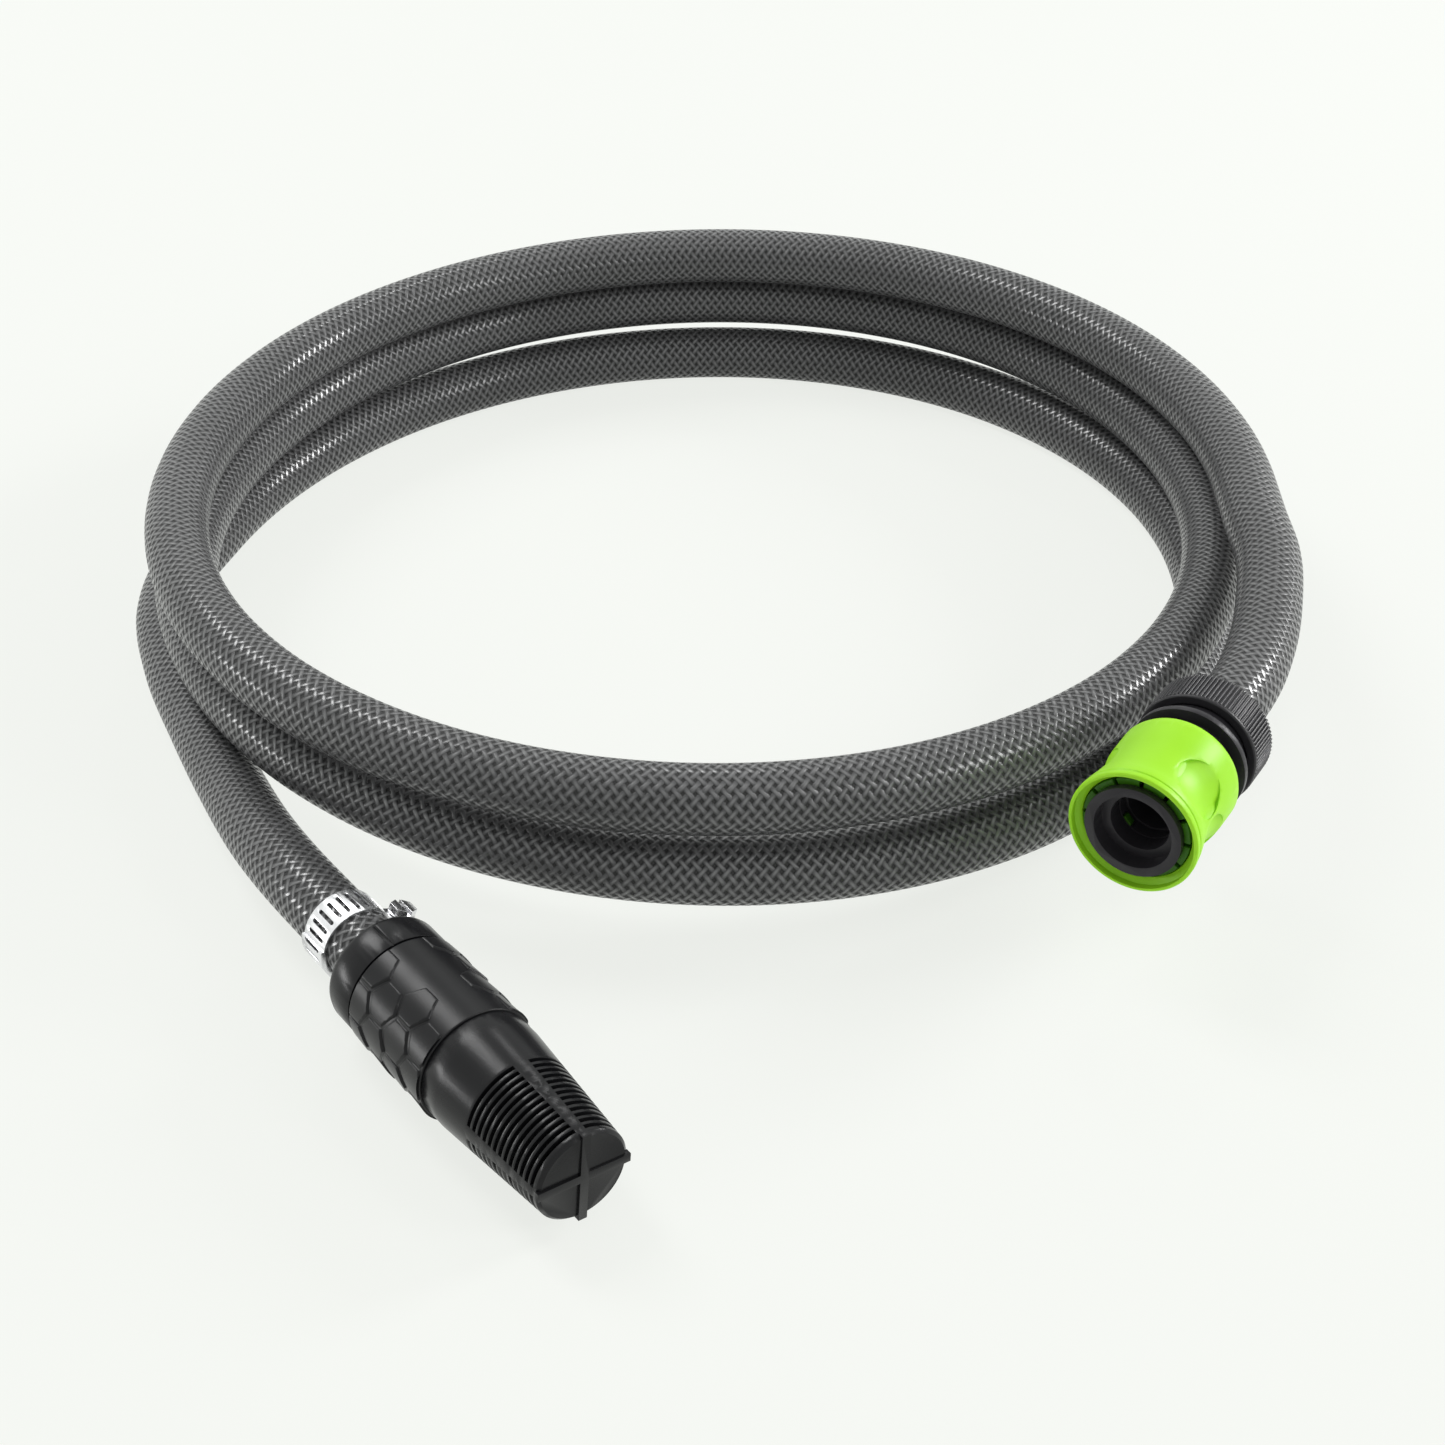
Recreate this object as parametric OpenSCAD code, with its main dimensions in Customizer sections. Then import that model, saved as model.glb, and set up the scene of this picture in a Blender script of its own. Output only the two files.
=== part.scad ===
// Garden suction hose set: a quick connector, a braided hose lying in a loose coil,
// a worm-drive clamp and a suction strainer with a foot valve.
// Millimetres, +Z up. The set lies on the plane z = 0.

/* [Hose] */
// Outside diameter of the hose
hose_od = 18; // [17:0.25:18.5]
// Wall of the hose
hose_wall = 2.5; // [2:0.1:3]
// How far a barb's ridges bite into the hose wall
barb_bite = 0.3; // [0.1:0.05:0.5]

/* [Coil] */
// Radius of the coil's loops where the coil begins and ends
coil_radius = 158; // [156:0.5:162]
// How much tighter the loops are halfway along the coil
coil_squeeze = 5; // [3:0.5:7]
// How far the loops are pushed back halfway along the coil
coil_push = 14; // [10:0.5:16]
// How much longer than a circle the loops are, measured on the radius
coil_oval = 3; // [0:0.25:4]
// Height from one layer of hose to the next, less the hose itself
layer_gap = 0.6; // [0.5:0.05:2]

/* [Quick connector] */
// Bore at the mouth, which takes the collar of the mating nipple
socket_d = 20; // [18:0.1:20.5]
// Depth of that bore
socket_depth = 4.8; // [4.4:0.1:5.2]
// Bore behind it, which takes the nipple's nose
nose_bore_d = 15.2; // [14.6:0.1:15.8]
// Narrower bore behind that, where the nipple's own ring seals
throat_d = 13.8; // [12.6:0.1:14]
// Depth of the narrower bore
throat_depth = 26; // [22:0.5:28]
// Waterway through both hose stems
waterway_d = 9; // [6:0.1:9.6]
// Wall around the socket bore
core_wall = 1.6; // [1.2:0.1:1.8]
// Width of the ring at the core's mouth, beyond the core's wall
nose_lip = 0.8; // [0.7:0.1:1.4]
// Length of that ring
nose_lip_len = 2.1; // [1.2:0.1:2.4]
// Release sleeve: wall at its mouth, around the jaws
sleeve_wall = 2.55; // [2.2:0.05:3]
// Release sleeve: thickness of the lip around its mouth
sleeve_lip = 0.95; // [0.8:0.05:1.5]
// Release sleeve: depth of the hollow inside that lip
mouth_depth = 1.8; // [1:0.1:2]
// Release sleeve: length
sleeve_len = 28.6; // [27:0.1:32]
// Release sleeve: how far it pulls back
sleeve_travel = 4; // [2:0.1:5]
// Release sleeve: depth of a finger dimple
dimple_depth = 1.2; // [0.5:0.1:1.3]
// Release sleeve: width of a finger dimple, across the sleeve
dimple_w = 15; // [11:0.5:16]
// Thickness of a jaw finger
jaw_wall = 1.2; // [0.8:0.1:1.3]
// Wire of the sleeve's return spring
sleeve_wire_d = 0.8; // [0.6:0.1:1]
// Curls of the sleeve's return spring
sleeve_curls = 3; // [2:1:3]
// Flange behind the sleeve
flange_w = 1.8; // [1.2:0.1:3]
// Bare neck between the flange and the nut
neck_len = 4.2; // [3:0.1:7]
// Wall of the threaded collar that holds the collet
collar_wall = 2.3; // [1.5:0.1:2.4]
// Hose nut: wall over its thread, grip ribs included
nut_wall = 2.4; // [2:0.1:4]
// Hose nut: length
nut_len = 14.5; // [13:0.1:18]
// Hose nut: grip ribs around it
nut_ribs = 90; // [24:1:100]
// Hose nut: height of a grip rib
nut_rib_h = 0.5; // [0.2:0.05:0.6]
// Thread pitch of the hose nut
nut_pitch = 2.5; // [1.5:0.1:3]
// Turns that free the hose nut
nut_turns = 1.5; // [1:0.25:1.75]

/* [Clamp] */
// Width of the band
band_w = 9.5; // [8:0.1:12]
// Thickness of the band
band_t = 0.7; // [0.4:0.05:1]
// Distance from the strainer's collar to the band
band_set_back = 11; // [9:0.1:13]
// Worm screw diameter
worm_d = 5.8; // [5:0.1:7]
// Length of the screw housing
housing_len = 9; // [8:0.1:12]
// Screw head, across its flats
screw_head_af = 6; // [5.6:0.1:8]
// Screw head height
screw_head_h = 2.8; // [2.5:0.1:4.5]
// How far the screw is turned about the hose, below level
clamp_roll = 25; // [0:1:35]

/* [Strainer] */
// Diameter of the collar that holds the hose
collar_d = 30; // [29.6:0.1:33]
// Length of that collar
collar_len = 9.9; // [9:0.1:13]
// Gap between the collar and the strainer's body
seam_gap = 0.4; // [0.3:0.05:1]
// Diameter of the grip sleeve
grip_d = 30.2; // [29.8:0.1:33]
// Length of the grip sleeve
grip_len = 31.6; // [31:0.1:36]
// Height of the honeycomb relief on the grip
relief_h = 0.6; // [0.2:0.05:0.8]
// Wall of the strainer's tube
tube_wall = 1.7; // [1.4:0.1:2]
// Length of the tapered nose
nose_len = 43; // [40:0.5:48]
// Diameter of the nose where it meets the grip
nose_root_d = 29.3; // [28.9:0.1:29.6]
// Diameter of the nose at its end
nose_end_d = 23.6; // [22:0.1:26]
// Slots in each of the four windows
slots = 13; // [8:1:15]
// Width of a slot along the strainer
slot_w = 1.1; // [0.8:0.05:1.2]
// Thread pitch of the strainer's body on the collar
body_pitch = 3; // [2:0.1:3.4]
// Turns that free the strainer's body
body_turns = 1.5; // [1:0.25:1.75]

/* [Foot valve] */
// Water passage through the valve seat
seat_bore_d = 13.2; // [9:0.1:15]
// Poppet diameter
poppet_d = 17.2; // [16.5:0.1:18.5]
// Poppet travel
poppet_lift = 4; // [2:0.1:5]
// Stem diameter
stem_d = 3.2; // [2.4:0.1:4]
// Wire of the closing spring
valve_wire_d = 0.8; // [0.5:0.05:1]
// Curls of the closing spring
valve_curls = 5; // [3:1:7]

/* [Clearances] */
// Between plastic pieces that slide or turn on each other
slide_gap = 0.3; // [0.2:0.05:0.4]
// Between the valve stem and its guide, on the radius
running_gap = 0.05; // [0.02:0.01:0.1]
// Between the hose and what slides over it, on the radius
hose_gap = 0.3; // [0.15:0.05:0.5]

/* [Hidden] */
$fn = 96;

green = [0.62, 0.93, 0.20];
black = [0.14, 0.14, 0.15];
charcoal = [0.24, 0.23, 0.25];
braid = [0.36, 0.36, 0.37];
steel = [0.82, 0.83, 0.85];
rubber = [0.08, 0.08, 0.08];

// Places beside the coil are given as [angle about its middle, distance beyond its radius, height].
coil_middle = [2.8, 38.9];
// Places and headings of the two fittings, both lying level.
// The connector's frame has +Z out of its mouth and the mouth at 0; the strainer's has +Z towards
// its nose and the collar's rear face at 0. In both, -X is up.
connector_place = [-58, 32.5, 42];
connector_heading = -121.5;
strainer_angle = 246.6;
strainer_out = 37.8;
strainer_heading = -53;
floor_gap = 0.3;
strainer_roll = 5;
connector_at = beside_coil(connector_place);

hose_r = hose_od / 2;
hose_bore_r = hose_r - hose_wall;

// ---------- lengths along the connector, from its mouth towards the hose ----------
core_r = socket_d / 2 + core_wall;
nose_r = core_r + nose_lip;
jaw_in_r = core_r + 0.2;
jaw_out_r = jaw_in_r + jaw_wall;
head_out_r = nose_r + 1.4;
land_r = max(jaw_out_r, nose_r) + slide_gap;
pocket_r = head_out_r + slide_gap;
jaw_tip = nose_lip_len + 0.3;
jaw_head_len = 3.5;
land_start = jaw_tip + jaw_head_len + slide_gap;
nose_bore_end = 10;
tooth_start = nose_bore_end + 0.3;
tooth_len = 2;
tooth_w = 3;
tooth_angles = [75 : 120 : 315];
window_gap = 0.25;
catch_r = nose_bore_d / 2 - 0.2;
catch_end = nose_bore_end + 3.5;
tooth_r = catch_r - 0.4;
jaw_slot_w = 1.1;
jaw_slot_end = catch_end + 1.7;
jaw_end = jaw_slot_end + 1.8;
land_end = jaw_end + 1.7;
rear_wall = 1.1;
bead_r = pocket_r + sleeve_wall;
mouth_r = bead_r - sleeve_lip;
sleeve_rear_r = bead_r - 0.65;
barrel_r = bead_r - 0.95;
barrel_mid = sleeve_len - 15;
dimple_mid = barrel_mid - 1.6;
rear_pocket_r = sleeve_rear_r - rear_wall;
flange_front = sleeve_len + sleeve_travel + 0.7;
flange_r = bead_r - 1.3;
flange_rear = flange_front + flange_w;
guide_r = core_r + 0.3;
stop_r = rear_pocket_r - slide_gap;
stop_front = sleeve_len - 2.6;
stop_rear = stop_front + 1.5;
neck_r = nose_r;
nut_front = flange_rear + neck_len;
thread_depth = 5.2;
collar_rear = nut_front + thread_depth;
hose_pocket_floor = flange_rear + 2.9;
hose_face = hose_pocket_floor + slide_gap;
collet_in_r = hose_r + 0.15;
collet_tail_r = collet_in_r + 1.55;
collar_in_r = collet_tail_r + 0.2;
collar_out_r = collar_in_r + collar_wall;
nut_bore_r = collar_out_r + slide_gap;
nut_r = nut_bore_r + nut_wall;
collet_front = hose_face + slide_gap;
collet_head = collar_rear + slide_gap;
nut_rear = nut_front + nut_len;
nut_lip = 1;
collet_rear = nut_rear - nut_lip - slide_gap;
collet_head_r = collar_out_r - 0.3;
collet_end_r = collet_in_r + 2.05;
core_stem_end = nut_rear + 2.2;
nut_travel = nut_pitch * nut_turns;
lead_bore_end = core_stem_end + 1.2;
lead_run = 10;
lead_straight_end = nut_rear + nut_travel + lead_run;

// ---------- lengths along the strainer, from the collar's rear face towards the nose ----------
collar_r = collar_d / 2;
hose_pocket = 5.9;
adapter_hose_face = hose_pocket - slide_gap;
adapter_stem = 20;
body_start = collar_len + seam_gap;
body_end = body_start + grip_len;
nose_end = body_end + nose_len;
grip_r = grip_d / 2;
tube_r = grip_r - 1.6;
guide_seat_r = tube_r - tube_wall;
spigot_r = guide_seat_r - 0.25;
spigot_wall = 2;
spigot_len = 8.1;
spigot_end = collar_len + spigot_len;
seal_r = 0.7;
seal_pocket_r = spigot_r + 2 * seal_r + 0.2;
seal_pocket_depth = 1.8;
boss_r = seal_pocket_r + 1;
boss_len = seal_pocket_depth + 1;
guide_w = 2.2;
guide_front = spigot_end + 6.2;
seat_tube_r = guide_seat_r - 0.85;
seat_w = 2.2;
seat_front = body_end;
seat_rear = seat_front - seat_w;
washer_t = 0.8;
poppet_front = seat_rear - washer_t;
poppet_t = 2;
poppet_rear = poppet_front - poppet_t;
stem_rear = guide_front - guide_w - poppet_lift - 1;
nose_bore_root_r = seat_tube_r - 0.9;
nose_bore_end_r = nose_end_d / 2 - tube_wall;
end_plate = 2;
nose_root_len = 6;
plain_nose = 17.6;
slot_first = body_end + plain_nose;
slot_last = nose_end - 1;
slot_pitch = (slot_last - slot_first) / slots;
rib_root_w = 4;
rib_end_w = 2.2;
cross_h = 0.6;
nose_bevel = 0.8;
parting_angle = 186;
strainer_at = beside_coil([strainer_angle, strainer_out, max(collar_r, grip_r) + floor_gap]);

// ---------- clamp, in the strainer's frame ----------
band_mid = -band_set_back - band_w / 2;
band_in_r = hose_r + 0.1;
band_out_r = band_in_r + band_t;
saddle_t = 0.7;
screw_head_r = screw_head_af / 2 / cos(30);
worm_axis_r = band_out_r + max(screw_head_r + 0.1, worm_d / 2 + slide_gap);
worm_bore_r = worm_d / 2 + 0.1;
housing_wall = 1;
housing_r = worm_bore_r + housing_wall;
housing_up = housing_len / 2;
band_slot_step = 15;
band_slot_w = 1;
band_slot_margin = 1.5;
// Corners of the sector in which the band's free end lies over it
tail_arc = [-78, -40, 0, 32];

// ---------- the hose's route ----------
layer_step = hose_od + layer_gap;
lie_z = hose_r - hose_od / 10;
coil_end_angle = 885;
coil_drift = -2;
oval_heading = 60;
drop_1 = [295, 185];
drop_2 = [635, 170];
loop_rings = 24;
coil_sides = 6;
tube_sides = 12;
tail_run = 12;
// Hand-set points of the two free stretches beside the coil, between their straight ends
lead_points = [[-28.5, 9.3, 42.4], [-21.4, 5.8, 43.2], [-14, 2.8, 44]];
tail_points = [[183, 4.7, 7.2], [194.2, 1.3, 7.2], [206.2, -0.4, 7.2], [217.3, 3.6, 9], [228, 13, 13]];

// =====================================================================================
// Shared shapes and functions
// =====================================================================================
function unit(v) = v / norm(v);
function smooth(x) = let (c = min(max(x, 0), 1)) c * c * (3 - 2 * c);
function dropped(angle, drop) = smooth((angle - drop[0]) / drop[1] + 0.5);
function heading(a) = [cos(a), sin(a), 0];
function beside_coil(q) =
    let (r = coil_radius + q[1])
    [coil_middle[0] + r * cos(q[0]), coil_middle[1] + r * sin(q[0]), q[2]];

// Centre line of the coil at a running angle, three layers high, stepping down twice
function coil_point(a) =
    let (w = sin(180 * a / coil_end_angle),
         r = coil_radius - coil_squeeze * w + coil_oval * cos(2 * (a - oval_heading)))
    [coil_middle[0] + coil_drift * a / 360 + r * cos(a),
     coil_middle[1] + coil_push * w + r * sin(a),
     lie_z + layer_step * (2 - dropped(a, drop_1) - dropped(a, drop_2))];
function coil_heading(a) = unit(coil_point(a + 0.5) - coil_point(a - 0.5));
// One hose diameter of straight hose at each end of the coil
function coil_start() = coil_point(0) - hose_od * coil_heading(0);
function coil_finish() = coil_point(coil_end_angle) + hose_od * coil_heading(coil_end_angle);

// A ring of points round c, square to direction t, kept above the floor
function ring(c, t, r, n) =
    let (s = unit(cross([0, 0, 1], t)), u = cross(t, s), first = n == 6 ? 0 : 180 / n)
    [for (k = [0 : n - 1])
        let (a = first + 360 * k / n, p = c + r * (cos(a) * s + sin(a) * u))
        [p[0], p[1], max(p[2], 0)]];

// Heading of a route at point i, with the headings of its two ends given
function route_heading(p, i, t_first, t_last) =
    i == 0 ? t_first : i == len(p) - 1 ? t_last : unit(unit(p[i + 1] - p[i]) + unit(p[i] - p[i - 1]));

// Faces that join rings of n points one after another, with a cap at each end
function swept_faces(count, n) =
    let (last = (count - 1) * n)
    concat(
        [for (i = [0 : count - 2]) for (k = [0 : n - 1])
            let (a = i * n + k, b = i * n + (k + 1) % n) each [[a, a + n, b], [b, a + n, b + n]]],
        [for (k = [1 : n - 2]) each [[0, k, k + 1], [last, last + k + 1, last + k]]]);

// A tube swept along a route, closed at both ends
module tube(p, r, n, t_first, t_last) {
    points = [for (i = [0 : len(p) - 1]) each ring(p[i], route_heading(p, i, t_first, t_last), r, n)];
    polyhedron(points = points, faces = swept_faces(len(p), n), convexity = 8);
}

// A coil spring along +Z between two flats, its wire touching neither by more than its clearance
module spring(mean_r, wire_d, curls, low, high) {
    steps = 8 * curls;
    rise = (high - low - wire_d) / curls;
    slope = atan2(rise, 2 * PI * mean_r);
    p = [for (i = [0 : steps]) [mean_r * cos(45 * i), mean_r * sin(45 * i), low + wire_d / 2 + rise * i / 8]];
    t = [for (i = [0 : steps]) [-sin(45 * i) * cos(slope), cos(45 * i) * cos(slope), sin(slope)]];
    points = [for (i = [0 : steps]) for (k = [0 : 5])
        let (o = [cos(45 * i), sin(45 * i), 0], u = cross(t[i], o))
        p[i] + wire_d / 2 * (cos(60 * k) * o + sin(60 * k) * u)];
    polyhedron(points = points, faces = swept_faces(steps + 1, 6), convexity = 8);
}

// A turned piece from its half profile, as [radius, place along the axis]
module turned(profile) {
    rotate_extrude() polygon(profile);
}

// A plain ring from a to b along the axis
module hoop(in_r, out_r, a, b) {
    turned([[in_r, a], [out_r, a], [out_r, b], [in_r, b]]);
}

module at_connector() {
    translate(connector_at) rotate([0, 90, connector_heading]) children();
}

module at_strainer() {
    translate(strainer_at) rotate([0, 90, strainer_heading]) children();
}

module at_clamp() {
    at_strainer() rotate([0, 0, -clamp_roll]) children();
}

// Connector pieces are written with depths behind the mouth as positive numbers
module from_mouth() {
    at_connector() mirror([0, 0, 1]) children();
}

// A hose stem with three ridges, its tip at the low end
module stem(tip, root) {
    r = hose_bore_r - 0.2;
    difference() {
        union() {
            turned([[0, tip], [r - 0.6, tip], [r, tip + 1], [r, root], [0, root]]);
            for (i = [0 : 2]) {
                turned([[0, tip + 2 + 4 * i], [r, tip + 2 + 4 * i], [hose_bore_r + barb_bite, tip + 4.6 + 4 * i],
                        [r, tip + 4.8 + 4 * i], [0, tip + 4.8 + 4 * i]]);
            }
        }
        translate([0, 0, tip - 1]) cylinder(d = waterway_d, h = root - tip + 2);
    }
}

// =====================================================================================
// Quick connector
// =====================================================================================
module connector_core() {
    color(black) from_mouth() {
        difference() {
            union() {
                hoop(socket_d / 2, nose_r, 0.2, nose_lip_len);
                hoop(socket_d / 2, core_r, nose_lip_len, socket_depth);
                turned([[nose_bore_d / 2, socket_depth], [core_r, socket_depth], [core_r, jaw_end + 0.3],
                        [guide_r, jaw_end + 0.3], [guide_r, stop_front], [stop_r, stop_front],
                        [stop_r, stop_rear], [neck_r, stop_rear], [neck_r, flange_front],
                        [flange_r, flange_front], [flange_r, flange_rear], [collar_out_r, flange_rear],
                        [collar_out_r, collar_rear], [collar_in_r, collar_rear],
                        [collar_in_r, hose_pocket_floor], [waterway_d / 2, hose_pocket_floor],
                        [waterway_d / 2, throat_depth + 2], [throat_d / 2, throat_depth],
                        [throat_d / 2, catch_end], [catch_r, catch_end], [catch_r, nose_bore_end],
                        [nose_bore_d / 2, nose_bore_end]]);
            }
            for (a = tooth_angles) {
                rotate([0, 0, a])
                    translate([catch_r - 1, -tooth_w / 2 - window_gap, tooth_start - window_gap])
                    cube([core_r - catch_r + 2, tooth_w + 2 * window_gap, tooth_len + 2 * window_gap]);
            }
        }
        mirror([0, 0, 1]) translate([0, 0, -core_stem_end - hose_pocket_floor])
            translate([0, 0, hose_pocket_floor]) stem(0, core_stem_end - hose_pocket_floor);
    }
}

// Twelve spring fingers; every fourth one has a tooth that reaches through a window of the core
module jaw_ring() {
    color(green) from_mouth() {
        difference() {
            union() {
                turned([[jaw_in_r, jaw_tip], [head_out_r, jaw_tip], [head_out_r, jaw_tip + jaw_head_len],
                        [jaw_out_r, jaw_tip + jaw_head_len], [jaw_out_r, jaw_end], [jaw_in_r, jaw_end]]);
                for (a = tooth_angles) {
                    rotate([0, 0, a]) translate([tooth_r, -tooth_w / 2, tooth_start])
                        cube([jaw_in_r + jaw_wall / 2 - tooth_r, tooth_w, tooth_len]);
                }
            }
            for (i = [0 : 11]) {
                rotate([0, 0, 30 * i]) translate([0, -jaw_slot_w / 2, jaw_tip - 1])
                    cube([head_out_r + 1, jaw_slot_w, jaw_slot_end - jaw_tip + 1]);
            }
        }
    }
}

module release_sleeve() {
    color(green) from_mouth() {
        difference() {
            turned([[mouth_r, 0], [bead_r - 0.35, 0], [bead_r, 0.35], [bead_r, 1.7], [bead_r - 0.35, 1.9],
                    [bead_r - 0.35, 2.3], [bead_r - 0.15, 2.6], [bead_r - 0.3, 4],
                    [bead_r - 0.75, barrel_mid - 7.1], [barrel_r, barrel_mid - 4.6],
                    [barrel_r, barrel_mid + 2.4], [bead_r - 0.7, barrel_mid + 7.4],
                    [sleeve_rear_r, sleeve_len - 1.2], [sleeve_rear_r - 0.5, sleeve_len],
                    [rear_pocket_r, sleeve_len], [rear_pocket_r, land_end], [land_r, land_end],
                    [land_r, land_start], [pocket_r, land_start],
                    [pocket_r, mouth_depth + 1], [mouth_r, mouth_depth]]);
            for (a = [48, 108, 228, 288]) dimple(a);
        }
    }
}

// A hollow for a fingertip: a round groove about the sleeve's axis, kept within a round outline
module dimple(angle) {
    groove_r = 20;
    floor_r = barrel_r - dimple_depth;
    rotate([0, 0, 180 - angle]) intersection() {
        translate([0, 0, dimple_mid]) rotate_extrude() translate([floor_r + groove_r, 0]) circle(r = groove_r);
        translate([floor_r - 1, 0, dimple_mid]) rotate([0, 90, 0]) cylinder(d = dimple_w, h = dimple_depth + 3);
    }
}

module sleeve_spring() {
    color(steel) from_mouth()
        spring((land_r + rear_pocket_r) / 2, sleeve_wire_d, sleeve_curls, land_end + 0.2, stop_front - 0.2);
}

module clamp_collet() {
    color(charcoal) from_mouth() {
        difference() {
            turned([[collet_in_r, collet_front], [collet_tail_r, collet_front], [collet_tail_r, collet_head],
                    [collet_head_r, collet_head], [collet_end_r, collet_rear], [collet_in_r, collet_rear]]);
            for (i = [0 : 3]) {
                rotate([0, 0, 45 * i]) translate([-collar_out_r - 1, -0.7, collet_front + 2.4])
                    cube([2 * collar_out_r + 2, 1.4, collet_rear]);
            }
        }
    }
}

module hose_nut() {
    rib_start = nut_front + 1;
    rib_end = nut_rear - 3.4;
    rim_r = nut_r - 0.1;
    root_r = nut_r - nut_rib_h;
    color(charcoal) from_mouth() {
        difference() {
            union() {
                turned([[0, nut_front], [rim_r - 0.3, nut_front], [rim_r, nut_front + 0.3],
                        [rim_r, rib_start], [root_r, rib_start], [root_r, rib_end],
                        [root_r - 2.6, nut_rear], [0, nut_rear]]);
                translate([0, 0, rib_start - 0.1]) linear_extrude(rib_end - rib_start)
                    polygon([for (i = [0 : nut_ribs - 1]) for (q = [[-0.3, 0], [-0.12, 1], [0.12, 1], [0.3, 0]])
                        let (a = 360 * (i + q[0]) / nut_ribs, r = root_r - 0.1 + (nut_rib_h + 0.1) * q[1])
                        [r * cos(a), r * sin(a)]]);
            }
            turned([[0, nut_front - 1], [nut_bore_r, nut_front - 1], [nut_bore_r, collar_rear + 1],
                    [collet_head_r + slide_gap, collar_rear + 1],
                    [collet_end_r + slide_gap, nut_rear - nut_lip], [hose_r + hose_gap, nut_rear - nut_lip],
                    [hose_r + hose_gap, nut_rear + 1], [0, nut_rear + 1]]);
        }
    }
}

// =====================================================================================
// Hose
// =====================================================================================
module hose_lead() {
    back = -heading(connector_heading);
    bend = [for (q = lead_points) beside_coil(q)];
    p = concat([connector_at + hose_face * back, connector_at + lead_straight_end * back], bend,
               [coil_start()]);
    color(braid) difference() {
        tube(p, hose_r, tube_sides, back, coil_heading(0));
        from_mouth() translate([0, 0, hose_face - 1])
            cylinder(r = hose_bore_r, h = lead_bore_end - hose_face + 1);
    }
}

module hose_coil() {
    steps = ceil(coil_end_angle * loop_rings / 360);
    turns = [for (i = [0 : steps]) coil_point(coil_end_angle * i / steps)];
    p = concat([coil_start()], turns, [coil_finish()]);
    fine = [for (a = [0 : 5 : coil_end_angle]) coil_point(a)];
    gaps = [for (i = [0 : len(fine) - 1]) for (k = [i + 36 : 1 : len(fine) - 1])
        norm(fine[i] - fine[k]) - hose_od];
    echo(str("least gap of the coil to itself: ", min(gaps), " mm"));
    color(braid) tube(p, hose_r, coil_sides, coil_heading(0), coil_heading(coil_end_angle));
}

module hose_tail() {
    along = heading(strainer_heading);
    bend = [for (q = tail_points) beside_coil(q)];
    straight_start = band_mid - band_w / 2 - tail_run;
    p = concat([coil_finish()], bend,
               [strainer_at + straight_start * along, strainer_at + adapter_hose_face * along]);
    color(braid) difference() {
        tube(p, hose_r, tube_sides, coil_heading(coil_end_angle), along);
        at_strainer() translate([0, 0, -adapter_stem - 1.2])
            cylinder(r = hose_bore_r, h = adapter_stem + 1.2 + adapter_hose_face + 1);
    }
}

// =====================================================================================
// Clamp
// =====================================================================================
module clamp_band() {
    color(steel) at_clamp() {
        difference() {
            union() {
                hoop(band_in_r, band_out_r, band_mid - band_w / 2, band_mid + band_w / 2);
                intersection() {
                    hoop(band_in_r, band_out_r + band_t, band_mid - band_w / 2, band_mid + band_w / 2);
                    translate([0, 0, band_mid - band_w]) linear_extrude(2 * band_w)
                        polygon([[0, 0], for (a = tail_arc) 2 * band_out_r * [cos(a), sin(a)]]);
                }
            }
            for (a = [120 : band_slot_step : 420]) {
                rotate([0, 0, a]) translate([band_in_r - 1, 0, band_mid]) band_slot();
            }
        }
    }
}

// A slot with round ends, as the worm's thread engages it
module band_slot() {
    half = (band_w - band_slot_w) / 2 - band_slot_margin;
    rotate([0, 90, 0]) {
        translate([-half, -band_slot_w / 2, 0]) cube([2 * half, band_slot_w, 3]);
        translate([half, 0, 0]) cylinder(d = band_slot_w, h = 3, $fn = 24);
        translate([-half, 0, 0]) cylinder(d = band_slot_w, h = 3, $fn = 24);
    }
}

module clamp_housing() {
    color(steel) at_clamp() {
        difference() {
            union() {
                translate([-housing_up, worm_axis_r, band_mid]) rotate([0, 90, 0])
                    cylinder(r = housing_r, h = housing_len);
                translate([-housing_up, band_out_r + saddle_t / 2, band_mid - housing_r])
                    cube([housing_len, worm_axis_r - band_out_r - saddle_t / 2, 2 * housing_r]);
                intersection() {
                    hoop(band_out_r, band_out_r + saddle_t, band_mid - housing_r, band_mid + housing_r);
                    translate([-housing_up, 0, band_mid - housing_r])
                        cube([housing_len, 2 * band_out_r, 2 * housing_r]);
                }
            }
            translate([-housing_up - 1, worm_axis_r, band_mid]) rotate([0, 90, 0])
                cylinder(r = worm_bore_r, h = housing_len + 2);
            translate([0, 0, band_mid - housing_r - 1]) cylinder(r = band_out_r, h = 2 * housing_r + 2);
        }
    }
}

module clamp_screw() {
    color(steel) at_clamp() translate([-housing_up, worm_axis_r, band_mid]) rotate([0, 90, 0]) {
        difference() {
            union() {
                translate([0, 0, -slide_gap]) cylinder(r = worm_d / 2 - 0.6, h = housing_len + slide_gap + 0.5);
                for (i = [0 : 4]) {
                    translate([0, 0, 0.6 + 1.7 * i]) cylinder(r = worm_d / 2, h = 0.9);
                }
                translate([0, 0, -slide_gap - 0.8]) cylinder(r = screw_head_r, h = 0.8);
                translate([0, 0, -slide_gap - screw_head_h]) cylinder(r = screw_head_r, h = screw_head_h, $fn = 6);
            }
            translate([-screw_head_af, -0.6, -slide_gap - screw_head_h - 1])
                cube([2 * screw_head_af, 1.2, 2.2]);
        }
    }
}

// =====================================================================================
// Strainer
// =====================================================================================
module hose_adapter() {
    color(black) at_strainer() {
        difference() {
            adapter_shell();
            rotate([0, 0, parting_angle]) translate([collar_r - 0.25, -0.2, -1]) cube([1, 0.4, collar_len + 2]);
        }
        translate([0, 0, -adapter_stem]) stem(0, adapter_stem + hose_pocket);
    }
}

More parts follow.
